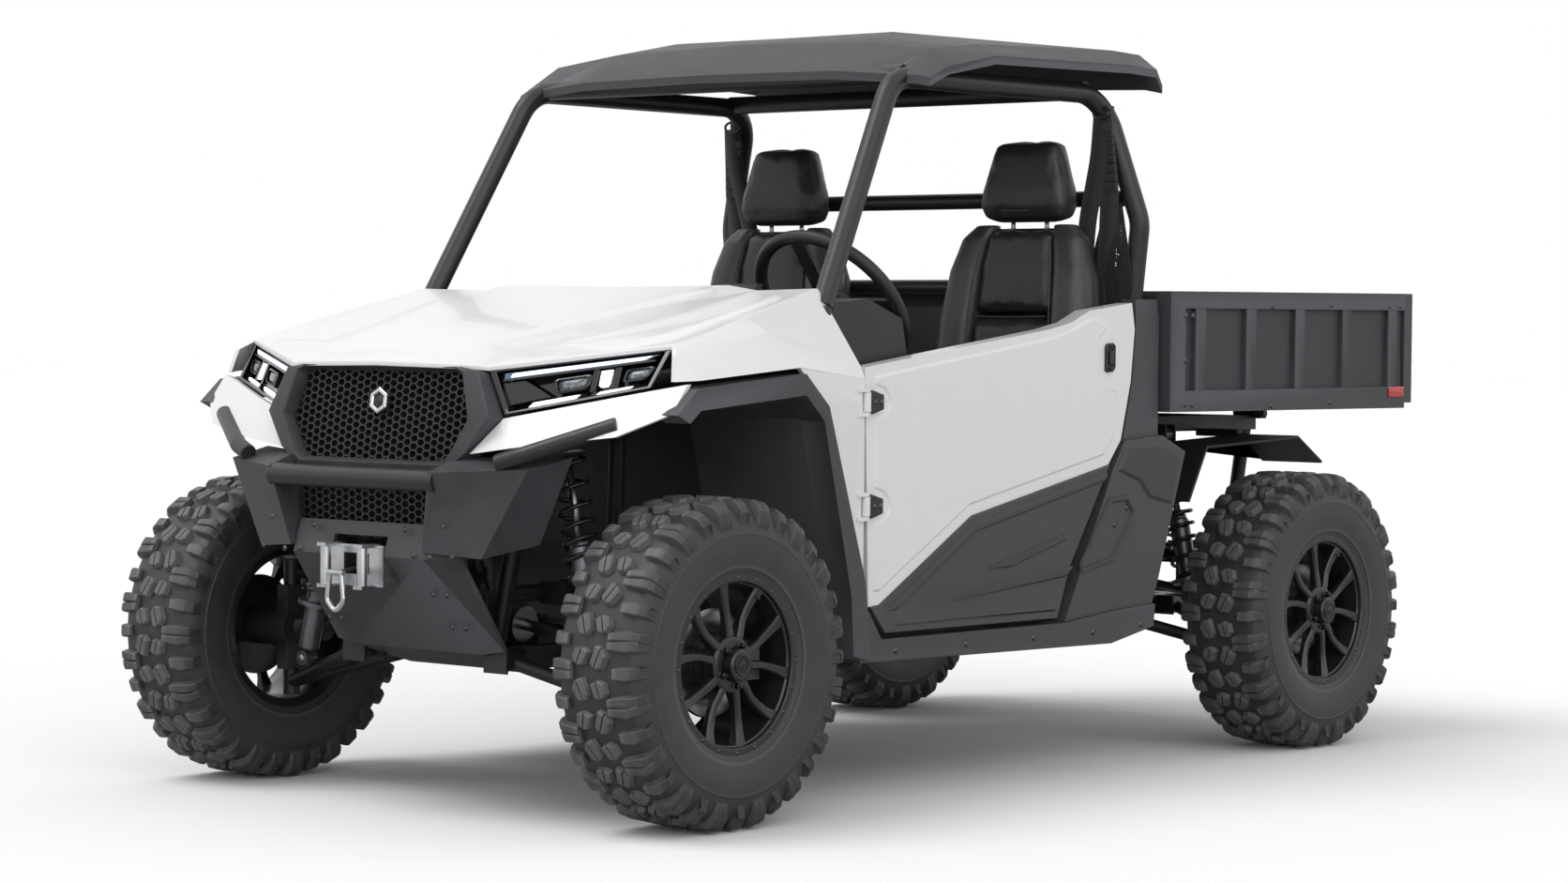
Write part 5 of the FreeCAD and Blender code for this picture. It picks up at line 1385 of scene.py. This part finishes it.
def make_camera(scene):
    """Camera at the photograph's place, low in front of the left wheel."""
    turn, dip, roll = (math.radians(degrees) for degrees in CAMERA_ANGLES)
    forward = Vector((-math.sin(turn) * math.cos(dip), math.cos(turn) * math.cos(dip), -math.sin(dip)))
    level = Vector((math.cos(turn), math.sin(turn), 0))
    upward = level.cross(forward)
    right = level * math.cos(roll) + upward * math.sin(roll)
    up = upward * math.cos(roll) - level * math.sin(roll)
    data = bpy.data.cameras.new("camera")
    data.lens = CAMERA_LENS
    data.sensor_width = 36
    data.clip_end = 500
    camera = add_object("camera", data)
    camera.matrix_world = Matrix((right, up, -forward)).transposed().to_4x4()
    camera.matrix_world.translation = Vector(CAMERA_PLACE) + Vector((0, FRONT_WHEEL.y, 0))
    scene.camera = camera
    scene.view_settings.view_transform = "Standard"


# Add-on

class VehicleColours(bpy.types.PropertyGroup):
    """Colours of the main finishes, as sRGB hex."""
    body: StringProperty(name="Body", description="Painted bonnet, wings and doors", default="#ededef")
    plastic: StringProperty(name="Plastic", description="Grained outer mouldings", default="#3a3b3e")
    black: StringProperty(name="Black", description="Black mouldings and tubes", default="#1f2022")


class VehicleSizes(bpy.types.PropertyGroup):
    """Sizes of the dressing pieces."""
    edge: FloatProperty(name="Edge", description="Rounding of moulded edges, in millimetres",
                        default=3.0, min=0.1)


class UTV_OT_carried_nodes(bpy.types.Operator):
    """Give each CAD node that stays in view its finish and rounded edges"""
    bl_idname = "utv.carried_nodes"
    bl_label = "Carried nodes"

    def execute(self, context):
        scene = context.scene
        FINISHES.update(make_materials(scene.utv_colours))
        for row in frame["record"]["subparts"]:
            node = row["node"]
            edge = FINE_EDGE if node in FINE_NODES else scene.utv_sizes.edge
            dress(node, FINISHES[row["material_slot"]], edge)
        return {"FINISHED"}


def drawing_step(name, label, action):
    """Operator that draws one group of pieces."""

    def execute(self, context):
        action()
        return {"FINISHED"}

    return type(f"UTV_OT_{name}", (bpy.types.Operator,),
                {"bl_idname": f"utv.{name}", "bl_label": label, "__doc__": action.__doc__.rstrip("."),
                 "execute": execute})


DRAWING_STEPS = (
    drawing_step("tyres", "Tyres", make_tyres),
    drawing_step("rims", "Rims", make_rims),
    drawing_step("grille", "Grille", make_grille),
    drawing_step("wheel_fittings", "Wheel fittings", make_wheel_fittings),
    drawing_step("springs", "Springs", make_springs),
    drawing_step("headlamps", "Headlamps", make_lamps_in_body),
    drawing_step("badge", "Grille badge", make_grille_badge),
    drawing_step("bonnet_panels", "Bonnet panels", make_bonnet_panels),
    drawing_step("seats", "Seats", make_seats),
    drawing_step("harness", "Harness", make_harness),
    drawing_step("door_panels", "Door panels", make_door_panels),
    drawing_step("door_fittings", "Door fittings", make_door_fittings),
    drawing_step("bed_fittings", "Bed fittings", make_bed_fittings),
    drawing_step("front_fittings", "Front fittings", make_front_fittings),
    drawing_step("cab_fittings", "Cab fittings", make_cab_fittings),
)


class UTV_OT_stage(bpy.types.Operator):
    """Floor, lamps, white surround and the camera"""
    bl_idname = "utv.stage"
    bl_label = "Stage"

    def execute(self, context):
        make_floor()
        make_world(context.scene)
        make_lamps()
        make_camera(context.scene)
        return {"FINISHED"}


class UTV_PT_panel(bpy.types.Panel):
    """Lists the vehicle's dressing steps"""
    bl_idname = "UTV_PT_panel"
    bl_label = "Utility vehicle"
    bl_space_type = "VIEW_3D"
    bl_region_type = "UI"
    bl_category = "Utility vehicle"

    def draw(self, context):
        for operator in OPERATORS:
            self.layout.operator(operator.bl_idname)


OPERATORS = (UTV_OT_carried_nodes, *DRAWING_STEPS, UTV_OT_stage)
CLASSES = (VehicleColours, VehicleSizes, *OPERATORS, UTV_PT_panel)


def register():
    for item in CLASSES:
        bpy.utils.register_class(item)
    bpy.types.Scene.utv_colours = PointerProperty(type=VehicleColours)
    bpy.types.Scene.utv_sizes = PointerProperty(type=VehicleSizes)


def unregister():
    del bpy.types.Scene.utv_sizes
    del bpy.types.Scene.utv_colours
    for item in reversed(CLASSES):
        bpy.utils.unregister_class(item)


def main():
    register()
    for operator in OPERATORS:
        group, name = operator.bl_idname.split(".")
        getattr(getattr(bpy.ops, group), name)()


if __name__ == "__main__":
    main()
